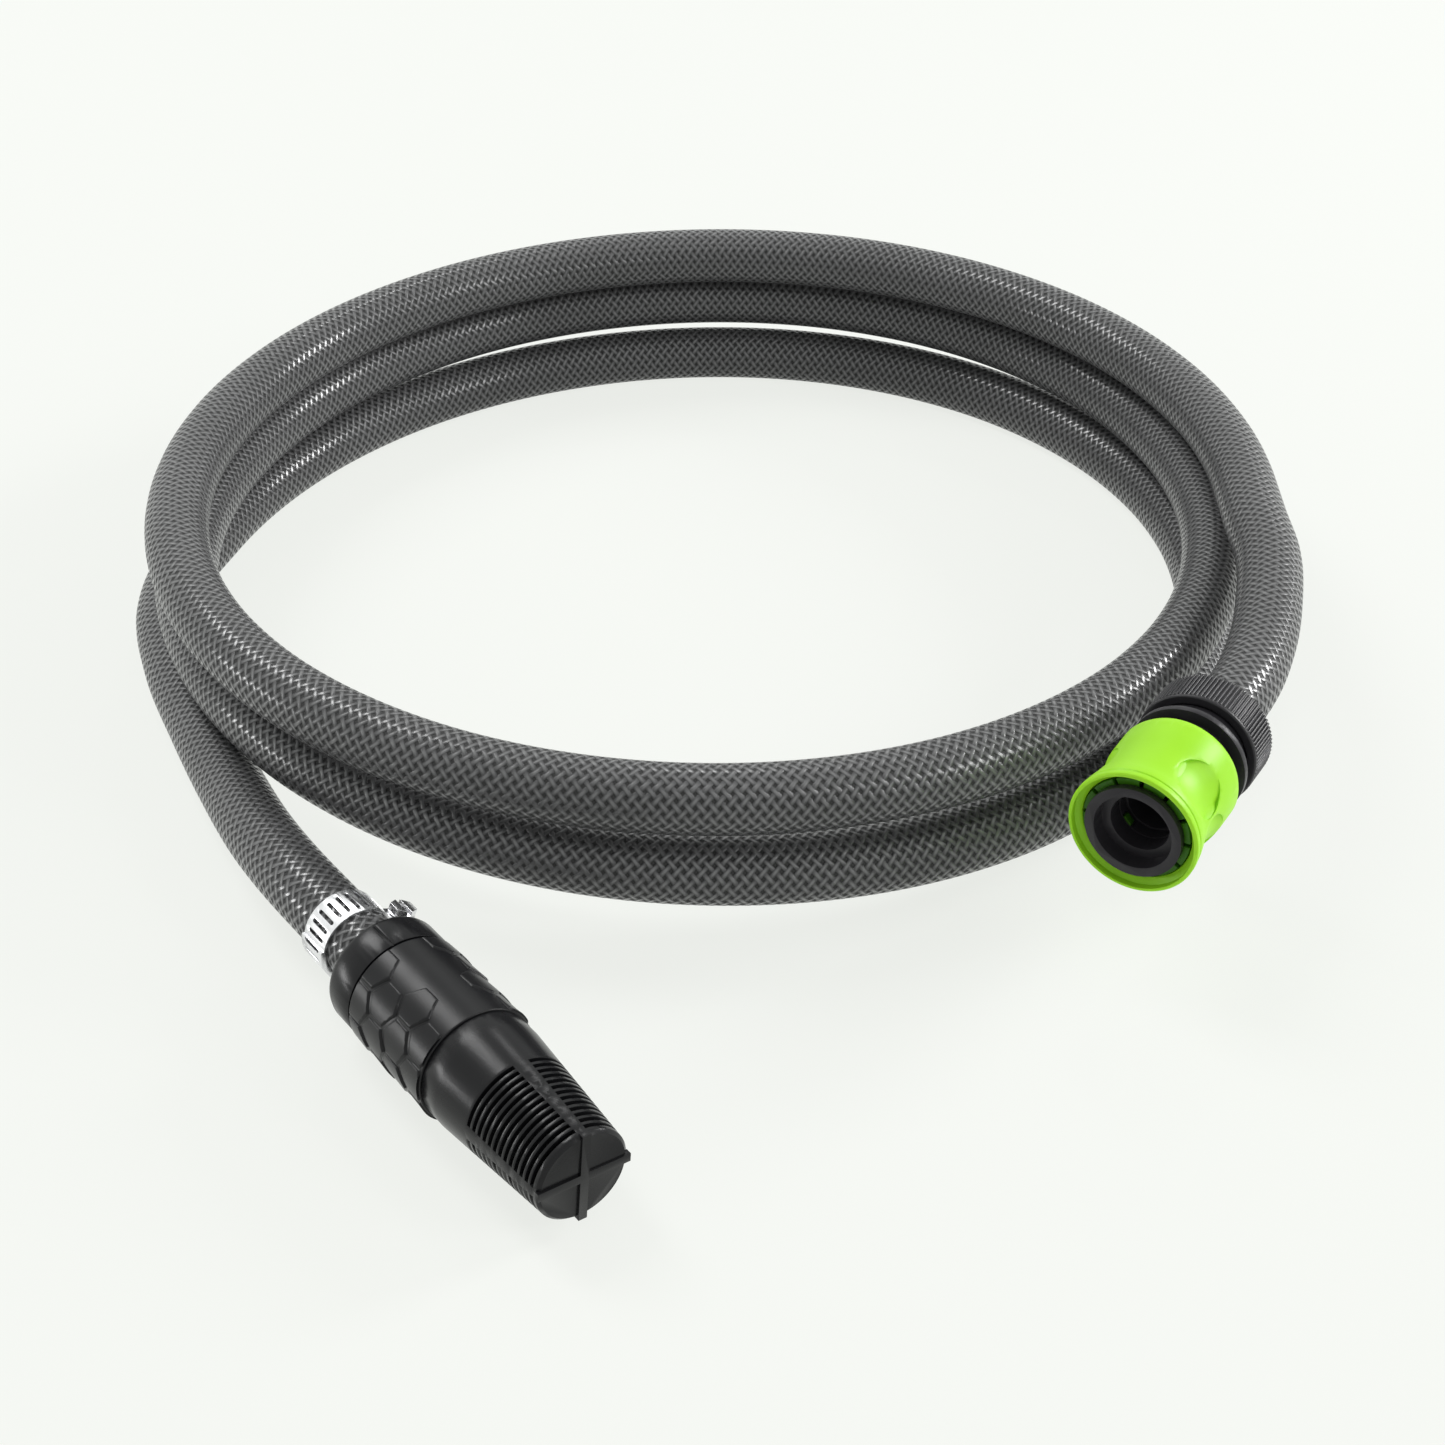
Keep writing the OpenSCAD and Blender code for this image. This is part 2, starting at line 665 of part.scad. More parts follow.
// Collar with the pocket for the hose behind and the spigot for the strainer's body in front
module adapter_shell() {
    turned([[waterway_d / 2, hose_pocket], [hose_r + hose_gap, hose_pocket], [hose_r + hose_gap, 0],
            [collar_r - 1, 0], [collar_r - 0.3, 0.5], [collar_r, 1.6], [collar_r, collar_len],
            [spigot_r, collar_len], [spigot_r, spigot_end], [spigot_r - spigot_wall, spigot_end],
            [spigot_r - spigot_wall, collar_len - 1], [waterway_d / 2, collar_len - 2.5]]);
}

module basket_seal() {
    color(rubber) at_strainer() rotate_extrude()
        translate([(spigot_r + seal_pocket_r) / 2, body_start + 0.65]) circle(r = seal_r, $fn = 24);
}

// Tube and slotted nose in one piece
module strainer_basket() {
    nose_root_r = nose_root_d / 2;
    nose_end_r = nose_end_d / 2;
    color(black) at_strainer() rotate([0, 0, -strainer_roll]) {
        difference() {
            turned([[seal_pocket_r, body_start], [boss_r, body_start], [boss_r, body_start + boss_len],
                    [tube_r, body_start + boss_len], [tube_r, body_end], [nose_root_r, body_end],
                    [nose_root_r, body_end + nose_root_len], [nose_end_r, nose_end - nose_bevel],
                    [nose_end_r - nose_bevel, nose_end], [0, nose_end],
                    [0, nose_end - end_plate], [nose_bore_end_r, nose_end - end_plate],
                    [nose_bore_root_r, body_end + nose_root_len], [nose_bore_root_r, seat_front],
                    [seat_tube_r, seat_front],
                    [seat_tube_r, guide_front], [guide_seat_r, guide_front],
                    [guide_seat_r, body_start + seal_pocket_depth], [seal_pocket_r, body_start + seal_pocket_depth]]);
            difference() {
                for (i = [0 : slots - 1]) {
                    translate([0, 0, slot_first + slot_pitch * i]) cylinder(r = nose_root_r + 1, h = slot_w);
                }
                for (a = [0, 90]) rotate([0, 0, a]) nose_rib();
            }
        }
        for (a = [0, 90]) {
            rotate([0, 0, a]) translate([-nose_end_r - 0.3, -rib_end_w / 2, nose_end - 1])
                cube([2 * nose_end_r + 0.6, rib_end_w, 1 + cross_h]);
        }
    }
}

// What a pair of opposite ribs keeps of the nose: a wedge that narrows towards the end
module nose_rib() {
    a = slot_first - 1;
    b = nose_end + 1;
    half = nose_root_d / 2 + 2;
    rotate([0, -90, 0]) translate([0, 0, -half]) linear_extrude(2 * half)
        polygon([[a, -rib_root_w / 2], [b, -rib_end_w / 2], [b, rib_end_w / 2], [a, rib_root_w / 2]]);
}

// Soft sleeve over the tube, with a honeycomb of low scales on each flank
module grip_sleeve() {
    cell = 9.8;
    column = cell * sqrt(3) / 2;
    first = body_start + 2.55;
    color(black) at_strainer() rotate([0, 0, -strainer_roll]) {
        turned([[boss_r + 0.1, body_start], [grip_r - 0.4, body_start], [grip_r, body_start + 0.4],
                [grip_r, body_end], [tube_r + 0.1, body_end], [tube_r + 0.1, body_start + boss_len + 0.1],
                [boss_r + 0.1, body_start + boss_len + 0.1]]);
        for (i = [0 : 3]) {
            mid = first + column * i;
            low = max(mid - cell / sqrt(3), body_start + 0.5);
            high = min(mid + cell / sqrt(3), body_end - 0.5);
            intersection() {
                turned([[grip_r - 0.3, low], [grip_r, low], [grip_r + relief_h, high], [grip_r - 0.3, high]]);
                for (side = [0, 180]) for (row = i % 2 == 0 ? [-1.5 : 1 : 1.5] : [-1 : 1 : 1]) {
                    rotate([0, 0, 90 + side + row * cell / grip_r * 180 / PI]) translate([grip_r - 2, 0, mid])
                        rotate([0, 90, 0]) cylinder(r = cell / sqrt(3) - 0.3, h = 4, $fn = 6);
                }
            }
        }
    }
}

// =====================================================================================
// Foot valve
// =====================================================================================
module valve_seat() {
    color(charcoal) at_strainer()
        turned([[seat_bore_d / 2, seat_rear + 0.6], [seat_bore_d / 2 + 0.6, seat_rear], [seat_tube_r, seat_rear],
                [seat_tube_r, seat_front - 0.01], [seat_bore_d / 2, seat_front - 0.01]]);
}

module poppet_washer() {
    color(rubber) at_strainer() hoop(1.2, poppet_d / 2 - 0.3, poppet_front, poppet_front + washer_t - 0.1);
}

module valve_poppet() {
    color(charcoal) at_strainer()
        turned([[0, stem_rear], [stem_d / 2 - 0.3, stem_rear], [stem_d / 2, stem_rear + 0.5],
                [stem_d / 2, poppet_rear - 1], [stem_d / 2 + 1, poppet_rear], [poppet_d / 2, poppet_rear],
                [poppet_d / 2, poppet_front], [1.2, poppet_front], [1.2, poppet_front + washer_t + 0.4],
                [0, poppet_front + washer_t + 0.4]]);
}

module valve_spring() {
    color(steel) at_strainer()
        spring(4.2, valve_wire_d, valve_curls, guide_front + 0.1, poppet_rear - 0.1);
}

// Ring, hub and three arms that carry the poppet's stem
module valve_guide() {
    hub_r = stem_d / 2 + running_gap + 1.6;
    color(charcoal) at_strainer() difference() {
        union() {
            hoop(guide_seat_r - 2, guide_seat_r, guide_front - guide_w, guide_front - 0.01);
            translate([0, 0, guide_front - guide_w - 1.5]) cylinder(r = hub_r, h = guide_w + 1.5);
            for (i = [0 : 2]) {
                rotate([0, 0, 120 * i]) translate([0, -0.9, guide_front - guide_w])
                    cube([guide_seat_r - 1, 1.8, guide_w]);
            }
        }
        translate([0, 0, guide_front - guide_w - 3])
            cylinder(r = stem_d / 2 + running_gap, h = guide_w + 6);
    }
}

connector_core();
jaw_ring();
release_sleeve();
sleeve_spring();
clamp_collet();
hose_nut();
hose_lead();
hose_coil();
hose_tail();
clamp_band();
clamp_housing();
clamp_screw();
hose_adapter();
basket_seal();
strainer_basket();
grip_sleeve();
valve_guide();
valve_spring();
valve_poppet();
poppet_washer();
valve_seat();
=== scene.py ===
"""Dresses the frame of a garden suction hose set.

The set is a quick connector, a braided hose lying in a loose coil, a worm-drive clamp and a
suction strainer with a foot valve. Sizes are written in millimetres and become metres where a
mesh is made.
"""

from __future__ import annotations

import logging
import math
from dataclasses import dataclass, field
from enum import Enum
from typing import Iterable, Sequence

import bmesh
import bpy
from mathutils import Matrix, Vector

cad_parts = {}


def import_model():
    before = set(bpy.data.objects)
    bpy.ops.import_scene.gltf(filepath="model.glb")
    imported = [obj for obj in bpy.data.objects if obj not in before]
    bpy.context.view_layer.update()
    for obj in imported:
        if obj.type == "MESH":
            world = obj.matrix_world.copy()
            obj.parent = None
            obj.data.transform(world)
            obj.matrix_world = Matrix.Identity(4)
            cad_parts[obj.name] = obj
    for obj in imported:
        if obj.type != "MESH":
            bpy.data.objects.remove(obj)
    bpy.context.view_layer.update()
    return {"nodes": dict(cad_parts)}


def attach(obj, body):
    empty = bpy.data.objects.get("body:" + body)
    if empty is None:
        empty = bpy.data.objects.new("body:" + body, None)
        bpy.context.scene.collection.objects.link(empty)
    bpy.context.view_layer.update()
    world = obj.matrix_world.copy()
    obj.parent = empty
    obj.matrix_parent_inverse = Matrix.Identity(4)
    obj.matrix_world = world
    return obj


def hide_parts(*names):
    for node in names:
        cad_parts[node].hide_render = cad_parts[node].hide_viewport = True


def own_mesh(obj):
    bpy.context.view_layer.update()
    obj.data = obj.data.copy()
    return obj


LOG = logging.getLogger("hose_set")
Colour = tuple[float, float, float]
Profile = list[tuple[float, float]]
Span = tuple[float, float]

MM = 0.001
COIL_MIDDLE = (2.8, 38.9)
COIL_RADIUS = 158.0

# Radius and cosine that leave a corner of a turned profile sharp: on the axis, or nearly straight
ON_AXIS = 1e-6
NEARLY_STRAIGHT = -0.985
# Most of a side that a rounding takes, its facets, and its support point's place in cuts
SIDE_SHARE = 0.4
ROUNDING_STEPS = 3
SUPPORT = 1.5

# Merging distances, in millimetres for a turned piece and in metres for a frame node
TURNED_MERGE = 1e-4
NODE_MERGE = 2e-6
TURNED_SIDES = 128

# Degrees: edges that stay sharp, faces that count as flat, and edges that are rounded
SHARP_ANGLE = 50.0
FLAT_ANGLE = 0.4
EDGE_ANGLE = 30.0
EDGE_SEGMENTS = 2


# ---------------------------------------------------------------------------------------
# Shared geometry
# ---------------------------------------------------------------------------------------
@dataclass(frozen=True)
class Axle:
    """A level centre line that turned pieces are built round.

    Stations are millimetres along it; angles are degrees round it from straight down.
    """

    origin: tuple[float, float, float]
    heading: float
    backwards: bool = False

    @property
    def ahead(self) -> Vector:
        """Unit vector of the heading."""
        turn = math.radians(self.heading)
        return Vector((math.cos(turn), math.sin(turn), 0.0))

    @property
    def run(self) -> Vector:
        """Unit vector in which the stations grow."""
        return -self.ahead if self.backwards else self.ahead

    @property
    def side(self) -> Vector:
        """Unit vector to the left of the heading."""
        return Vector((-self.ahead.y, self.ahead.x, 0.0))

    def point(self, station: float, radius: float = 0.0, angle: float = 0.0) -> Vector:
        """A place near the axle.

        Args:
            station: Millimetres along the axle.
            radius: Millimetres from it.
            angle: Degrees round it from straight down.

        Returns:
            The place in millimetres.
        """
        turn = math.radians(angle)
        out = self.side * math.sin(turn) - Vector((0, 0, 1)) * math.cos(turn)
        return Vector(self.origin) + self.run * station + out * radius

    def carry(self, mesh: bpy.types.Mesh) -> None:
        """Moves a mesh from its own frame, whose Z is the stations' way, to the axle, in metres.

        Args:
            mesh: A mesh in millimetres with X down and Y to the side.
        """
        for vertex in mesh.vertices:
            x, y, z = vertex.co
            place = Vector(self.origin) + self.run * z + self.side * y - Vector((0, 0, 1)) * x
            vertex.co = place * MM
        if self.backwards:
            mesh.flip_normals()


def beside_coil(angle: float, out: float, height: float) -> Vector:
    """A place beside the coil.

    Args:
        angle: Degrees about the coil's middle.
        out: Millimetres beyond the coil's radius.
        height: Millimetres over the ground.

    Returns:
        The place in millimetres.
    """
    turn, reach = math.radians(angle), COIL_RADIUS + out
    x, y = COIL_MIDDLE
    return Vector((x + reach * math.cos(turn), y + reach * math.sin(turn), height))


CONNECTOR = Axle(tuple(beside_coil(angle=-58, out=32.5, height=42)), heading=-121.5, backwards=True)
STRAINER = Axle(tuple(beside_coil(angle=246.6, out=37.8, height=15.4)), heading=-53)


def smooth_step(x: float) -> float:
    """The cubic that rises from 0 to 1."""
    c = min(max(x, 0.0), 1.0)
    return c * c * (3 - 2 * c)


def new_object(name: str, mesh: bpy.types.Mesh) -> bpy.types.Object:
    """Puts a mesh in the scene as an object at the origin.

    Args:
        name: Name of the object.
        mesh: Its mesh.

    Returns:
        The object.
    """
    piece = bpy.data.objects.new(name, mesh)
    bpy.context.scene.collection.objects.link(piece)
    return piece


def plain_mesh(piece: bpy.types.Object) -> None:
    """Turns a piece's modifiers into a plain mesh and removes them.

    Args:
        piece: The piece, which gets the new mesh.
    """
    graph = bpy.context.evaluated_depsgraph_get()
    graph.update()
    made = bpy.data.meshes.new_from_object(piece.evaluated_get(graph), depsgraph=graph)
    made.name = piece.name
    piece.modifiers.clear()
    piece.data = made


def rounded(profile: Profile, radius: float) -> Profile:
    """Rounds the corners of a closed profile.

    Args:
        profile: Corners as (radius, station), in order.
        radius: Radius of the rounding, less where a side is short.

    Returns:
        The profile with an arc at each corner and a support point beside it.
    """
    result: Profile = []
    count = len(profile)
    for i, corner in enumerate(profile):
        here = Vector(corner)
        before, after = Vector(profile[i - 1]) - here, Vector(profile[(i + 1) % count]) - here
        cut = min(radius, before.length * SIDE_SHARE, after.length * SIDE_SHARE)
        if corner[0] <= ON_AXIS or before.normalized().dot(after.normalized()) < NEARLY_STRAIGHT:
            result.append(corner)
            continue
        start, end = here + before.normalized() * cut, here + after.normalized() * cut
        result.append(tuple(here + before.normalized() * cut * SUPPORT))
        for k in range(ROUNDING_STEPS + 1):
            t = k / ROUNDING_STEPS
            result.append(tuple(start * (1 - t) ** 2 + here * 2 * t * (1 - t) + end * t**2))
        result.append(tuple(here + after.normalized() * cut * SUPPORT))
    return result


def turned(name: str, profile: Profile, axle: Axle, radius: float) -> bpy.types.Object:
    """A turned piece from its closed half profile.

    Args:
        name: Name of the piece.
        profile: Corners as (radius, station).
        axle: What it is turned about.
        radius: Rounding of its edges.

    Returns:
        The new object.
    """
    line = rounded(profile, radius)
    shape = bmesh.new()
    rings = []
    for i in range(TURNED_SIDES):
        turn = 2 * math.pi * i / TURNED_SIDES
        x, y = math.cos(turn), math.sin(turn)
        rings.append([shape.verts.new((r * x, r * y, z)) for r, z in line])
    for i in range(TURNED_SIDES):
        here, there = rings[i], rings[(i + 1) % TURNED_SIDES]
        for k in range(len(line)):
            n = (k + 1) % len(line)
            if line[k][0] > ON_AXIS or line[n][0] > ON_AXIS:
                shape.faces.new((here[k], there[k], there[n], here[n]))
    bmesh.ops.remove_doubles(shape, verts=shape.verts, dist=TURNED_MERGE)
    bmesh.ops.recalc_face_normals(shape, faces=shape.faces)
    mesh = bpy.data.meshes.new(name)
    shape.to_mesh(mesh)
    shape.free()
    axle.carry(mesh)
    smooth(mesh)
    return new_object(name, mesh)


def smooth(mesh: bpy.types.Mesh, angle: float = SHARP_ANGLE) -> None:
    """Shades a mesh smooth, apart from edges sharper than the angle in degrees."""
    mesh.shade_smooth()
    mesh.set_sharp_from_angle(angle=math.radians(angle))


def softened(name: str, source: bpy.types.Object, width: float) -> bpy.types.Object:
    """A copy of a frame node, with its edges rounded.

    Args:
        name: Name of the piece.
        source: The node's object, which stays as it is.
        width: Width of the rounding in millimetres.

    Returns:
        The new object.
    """
    shape = bmesh.new()
    shape.from_mesh(source.data)
    bmesh.ops.remove_doubles(shape, verts=shape.verts, dist=NODE_MERGE)
    bmesh.ops.dissolve_limit(
        shape, angle_limit=math.radians(FLAT_ANGLE), verts=shape.verts, edges=shape.edges
    )
    mesh = bpy.data.meshes.new(name)
    shape.to_mesh(mesh)
    shape.free()
    mesh.shade_smooth()
    piece = new_object(name, mesh)
    bevel = piece.modifiers.new("edges", "BEVEL")
    bevel.width = width * MM
    bevel.segments = EDGE_SEGMENTS
    bevel.limit_method = "ANGLE"
    bevel.angle_limit = math.radians(EDGE_ANGLE)
    bevel.harden_normals = True
    bevel.use_clamp_overlap = True
    plain_mesh(piece)
    return piece


# ---------------------------------------------------------------------------------------
# Node trees
# ---------------------------------------------------------------------------------------
class Wiring:
    """Adds and joins nodes in one node tree."""

    def __init__(self, tree: bpy.types.NodeTree) -> None:
        """Works on the given tree."""
        self.tree = tree

    def add(self, kind: str, **settings: object) -> bpy.types.Node:
        """Adds a node.

        Args:
            kind: Blender's name of the node type.
            **settings: Properties of the node.

        Returns:
            The node.
        """
        node = self.tree.nodes.new(kind)
        for key, value in settings.items():
            setattr(node, key, value)
        return node

    def feed(self, target: bpy.types.NodeSocket, value: object) -> None:
        """Links a socket to the target, or sets a value on it.

        Args:
            target: The input.
            value: A socket or a value.
        """
        if isinstance(value, bpy.types.NodeSocket):
            self.tree.links.new(value, target)
        else:
            target.default_value = value

    def fill(self, node: bpy.types.Node, values: Iterable[object]) -> None:
        """Feeds a node's inputs in their order, from numbers or sockets."""
        for socket, value in zip(node.inputs, values):
            self.feed(socket, value)

    def math(self, operation: str, *values: object) -> bpy.types.NodeSocket:
        """A Math node.

        Args:
            operation: Its operation.
            *values: Numbers or sockets that it takes.

        Returns:
            Its output.
        """
        node = self.add("ShaderNodeMath", operation=operation)
        self.fill(node, values)
        return node.outputs[0]

    def ranged(self, value: object, span: Span, result: Span = (0.0, 1.0)) -> bpy.types.NodeSocket:
        """A Map Range node, held at its ends.

        Args:
            value: Number or socket that it takes.
            span: Ends of the value's range.
            result: What those ends become.

        Returns:
            Its output.
        """
        node = self.add("ShaderNodeMapRange", clamp=True)
        self.fill(node, (value, *span, *result))
        return node.outputs[0]

    def blended(self, amount: object, first: object, second: object) -> bpy.types.NodeSocket:
        """A colour mix of two colours.

        Args:
            amount: Share of the second colour.
            first: Colour or socket.
            second: Colour or socket.

        Returns:
            The mixed colour's output.
        """
        node = self.add("ShaderNodeMix", data_type="RGBA")
        self.feed(node.inputs["Factor"], amount)
        for socket, value in zip([s for s in node.inputs if s.type == "RGBA"], (first, second)):
            self.feed(socket, value if isinstance(value, bpy.types.NodeSocket) else (*value, 1.0))
        return next(s for s in node.outputs if s.type == "RGBA")

    def split(self, vector: bpy.types.NodeSocket) -> tuple[bpy.types.NodeSocket, ...]:
        """Takes a vector apart.

        Args:
            vector: The vector's socket.

        Returns:
            Its three numbers' outputs.
        """
        node = self.add("ShaderNodeSeparateXYZ")
        self.feed(node.inputs[0], vector)
        return tuple(node.outputs)

    def vector(self, x: object = 0.0, y: object = 0.0, z: object = 0.0) -> bpy.types.NodeSocket:
        """A vector of three numbers.

        Args:
            x: Number or socket.
            y: Number or socket.
            z: Number or socket.

        Returns:
            The vector's output.
        """
        node = self.add("ShaderNodeCombineXYZ")
        self.fill(node, (x, y, z))
        return node.outputs[0]

    def made_of(self, kind: str, **inputs: object) -> bpy.types.NodeSocket:
        """A node with its inputs set by name, a space written as an underscore.

        Args:
            kind: Blender's name of the node type.
            **inputs: Value or socket of each named input.

        Returns:
            Its first output.
        """
        node = self.add(kind)
        for label, value in inputs.items():
            self.feed(node.inputs[label.replace("_", " ")], value)
        return node.outputs[0]


class GroupTree(Wiring):
    """A node group with named inputs and outputs."""

    def __init__(
        self, name: str, kind: str, inputs: dict[str, tuple[str, object]], outputs: dict[str, str]
    ) -> None:
        """Builds the group's interface.

        Args:
            name: Name of the group.
            kind: Type of tree.
            inputs: Socket type and default by name.
            outputs: Socket type by name.
        """
        super().__init__(bpy.data.node_groups.new(name, kind))
        self.identifiers: dict[str, str] = {}
        for label, (socket_type, default) in inputs.items():
            socket = self.tree.interface.new_socket(label, in_out="INPUT", socket_type=socket_type)
            if default is not None:
                socket.default_value = default
            self.identifiers[label] = socket.identifier
        for label, socket_type in outputs.items():
            self.tree.interface.new_socket(label, in_out="OUTPUT", socket_type=socket_type)
        self.given = self.add("NodeGroupInput").outputs
        self.result = self.add("NodeGroupOutput").inputs

    def made(self, name: str, values: dict[str, object], axle: Axle) -> bpy.types.Object:
        """Runs a geometry tree once and keeps its result as a plain mesh.

        Args:
            name: Name of the piece.
            values: Value of each named input.
            axle: Where the result goes.

        Returns:
            The new object.
        """
        piece = new_object(name, bpy.data.meshes.new(name))
        modifier = piece.modifiers.new(name, "NODES")
        modifier.node_group = self.tree
        for label, value in values.items():
            modifier[self.identifiers[label]] = value
        plain_mesh(piece)
        axle.carry(piece.data)
        smooth(piece.data)
        return piece


NUMBER, WHOLE, MATERIAL = "NodeSocketFloat", "NodeSocketInt", "NodeSocketMaterial"


def close_tree(tree: GroupTree, geometry: bpy.types.NodeSocket) -> GroupTree:
    """Ends a geometry tree in Realize Instances and Set Material.

    Args:
        tree: The tree.
        geometry: What it has built.

    Returns:
        The same tree.
    """
    real = tree.made_of("GeometryNodeRealizeInstances", Geometry=geometry)
    dressed = tree.made_of(
        "GeometryNodeSetMaterial", Geometry=real, Material=tree.given["Material"])
    tree.feed(tree.result["Geometry"], dressed)
    return tree


def round_bar(
    tree: GroupTree, line: bpy.types.NodeSocket, radius: object, facets: int
) -> bpy.types.NodeSocket:
    """A round bar along a curve, closed at its ends.

    Args:
        tree: The tree it is built in.
        line: The curve.
        radius: The bar's radius.
        facets: Facets round it.

    Returns:
        Its geometry.
    """
    section = tree.add("GeometryNodeCurvePrimitiveCircle", mode="RADIUS")
    section.inputs["Resolution"].default_value = facets
    tree.feed(section.inputs["Radius"], radius)
    return tree.made_of(
        "GeometryNodeCurveToMesh", Curve=line, Profile_Curve=section.outputs[0], Fill_Caps=True)


def spring_tree() -> GroupTree:
    """Makes coil springs of round wire, along their own Z.

    Returns:
        The geometry tree.
    """
    tree = GroupTree("coil_spring", "GeometryNodeTree", {
        "Mean radius": (NUMBER, 4.0),
        "Wire": (NUMBER, 0.8),
        "Curls": (NUMBER, 5.0),
        "Low": (NUMBER, 0.0),
        "High": (NUMBER, 10.0),
        "Material": (MATERIAL, None),
    }, {"Geometry": "NodeSocketGeometry"})
    given = tree.given
    half_wire = tree.math("MULTIPLY", given["Wire"], 0.5)
    rise = tree.math("SUBTRACT", tree.math("SUBTRACT", given["High"], given["Low"]), given["Wire"])
    helix = tree.made_of(
        "GeometryNodeCurveSpiral", Resolution=48, Rotations=given["Curls"],
        Start_Radius=given["Mean radius"], End_Radius=given["Mean radius"], Height=rise)
    wound = round_bar(tree, helix, half_wire, facets=12)
    lift = tree.vector(z=tree.math("ADD", given["Low"], half_wire))
    return close_tree(tree, tree.made_of("GeometryNodeTransform", Geometry=wound, Translation=lift))


def rib_tree() -> GroupTree:
    """Makes straight round-backed ribs round a turned piece, along its own Z.

    Returns:
        The geometry tree.
    """
    tree = GroupTree("round_ribs", "GeometryNodeTree", {
        "Count": (WHOLE, 90),
        "Radius": (NUMBER, 15.0),
        "Rib": (NUMBER, 0.35),
        "Low": (NUMBER, 0.0),
        "High": (NUMBER, 10.0),
        "Material": (MATERIAL, None),
    }, {"Geometry": "NodeSocketGeometry"})
    given = tree.given
    circle = tree.made_of("GeometryNodeMeshCircle", Vertices=given["Count"], Radius=given["Radius"])
    line = tree.made_of(
        "GeometryNodeCurvePrimitiveLine",
        Start=tree.vector(z=given["Low"]), End=tree.vector(z=given["High"]))
    rib = round_bar(tree, line, given["Rib"], facets=10)
    ribs = tree.made_of("GeometryNodeInstanceOnPoints", Points=circle, Instance=rib)
    return close_tree(tree, ribs)


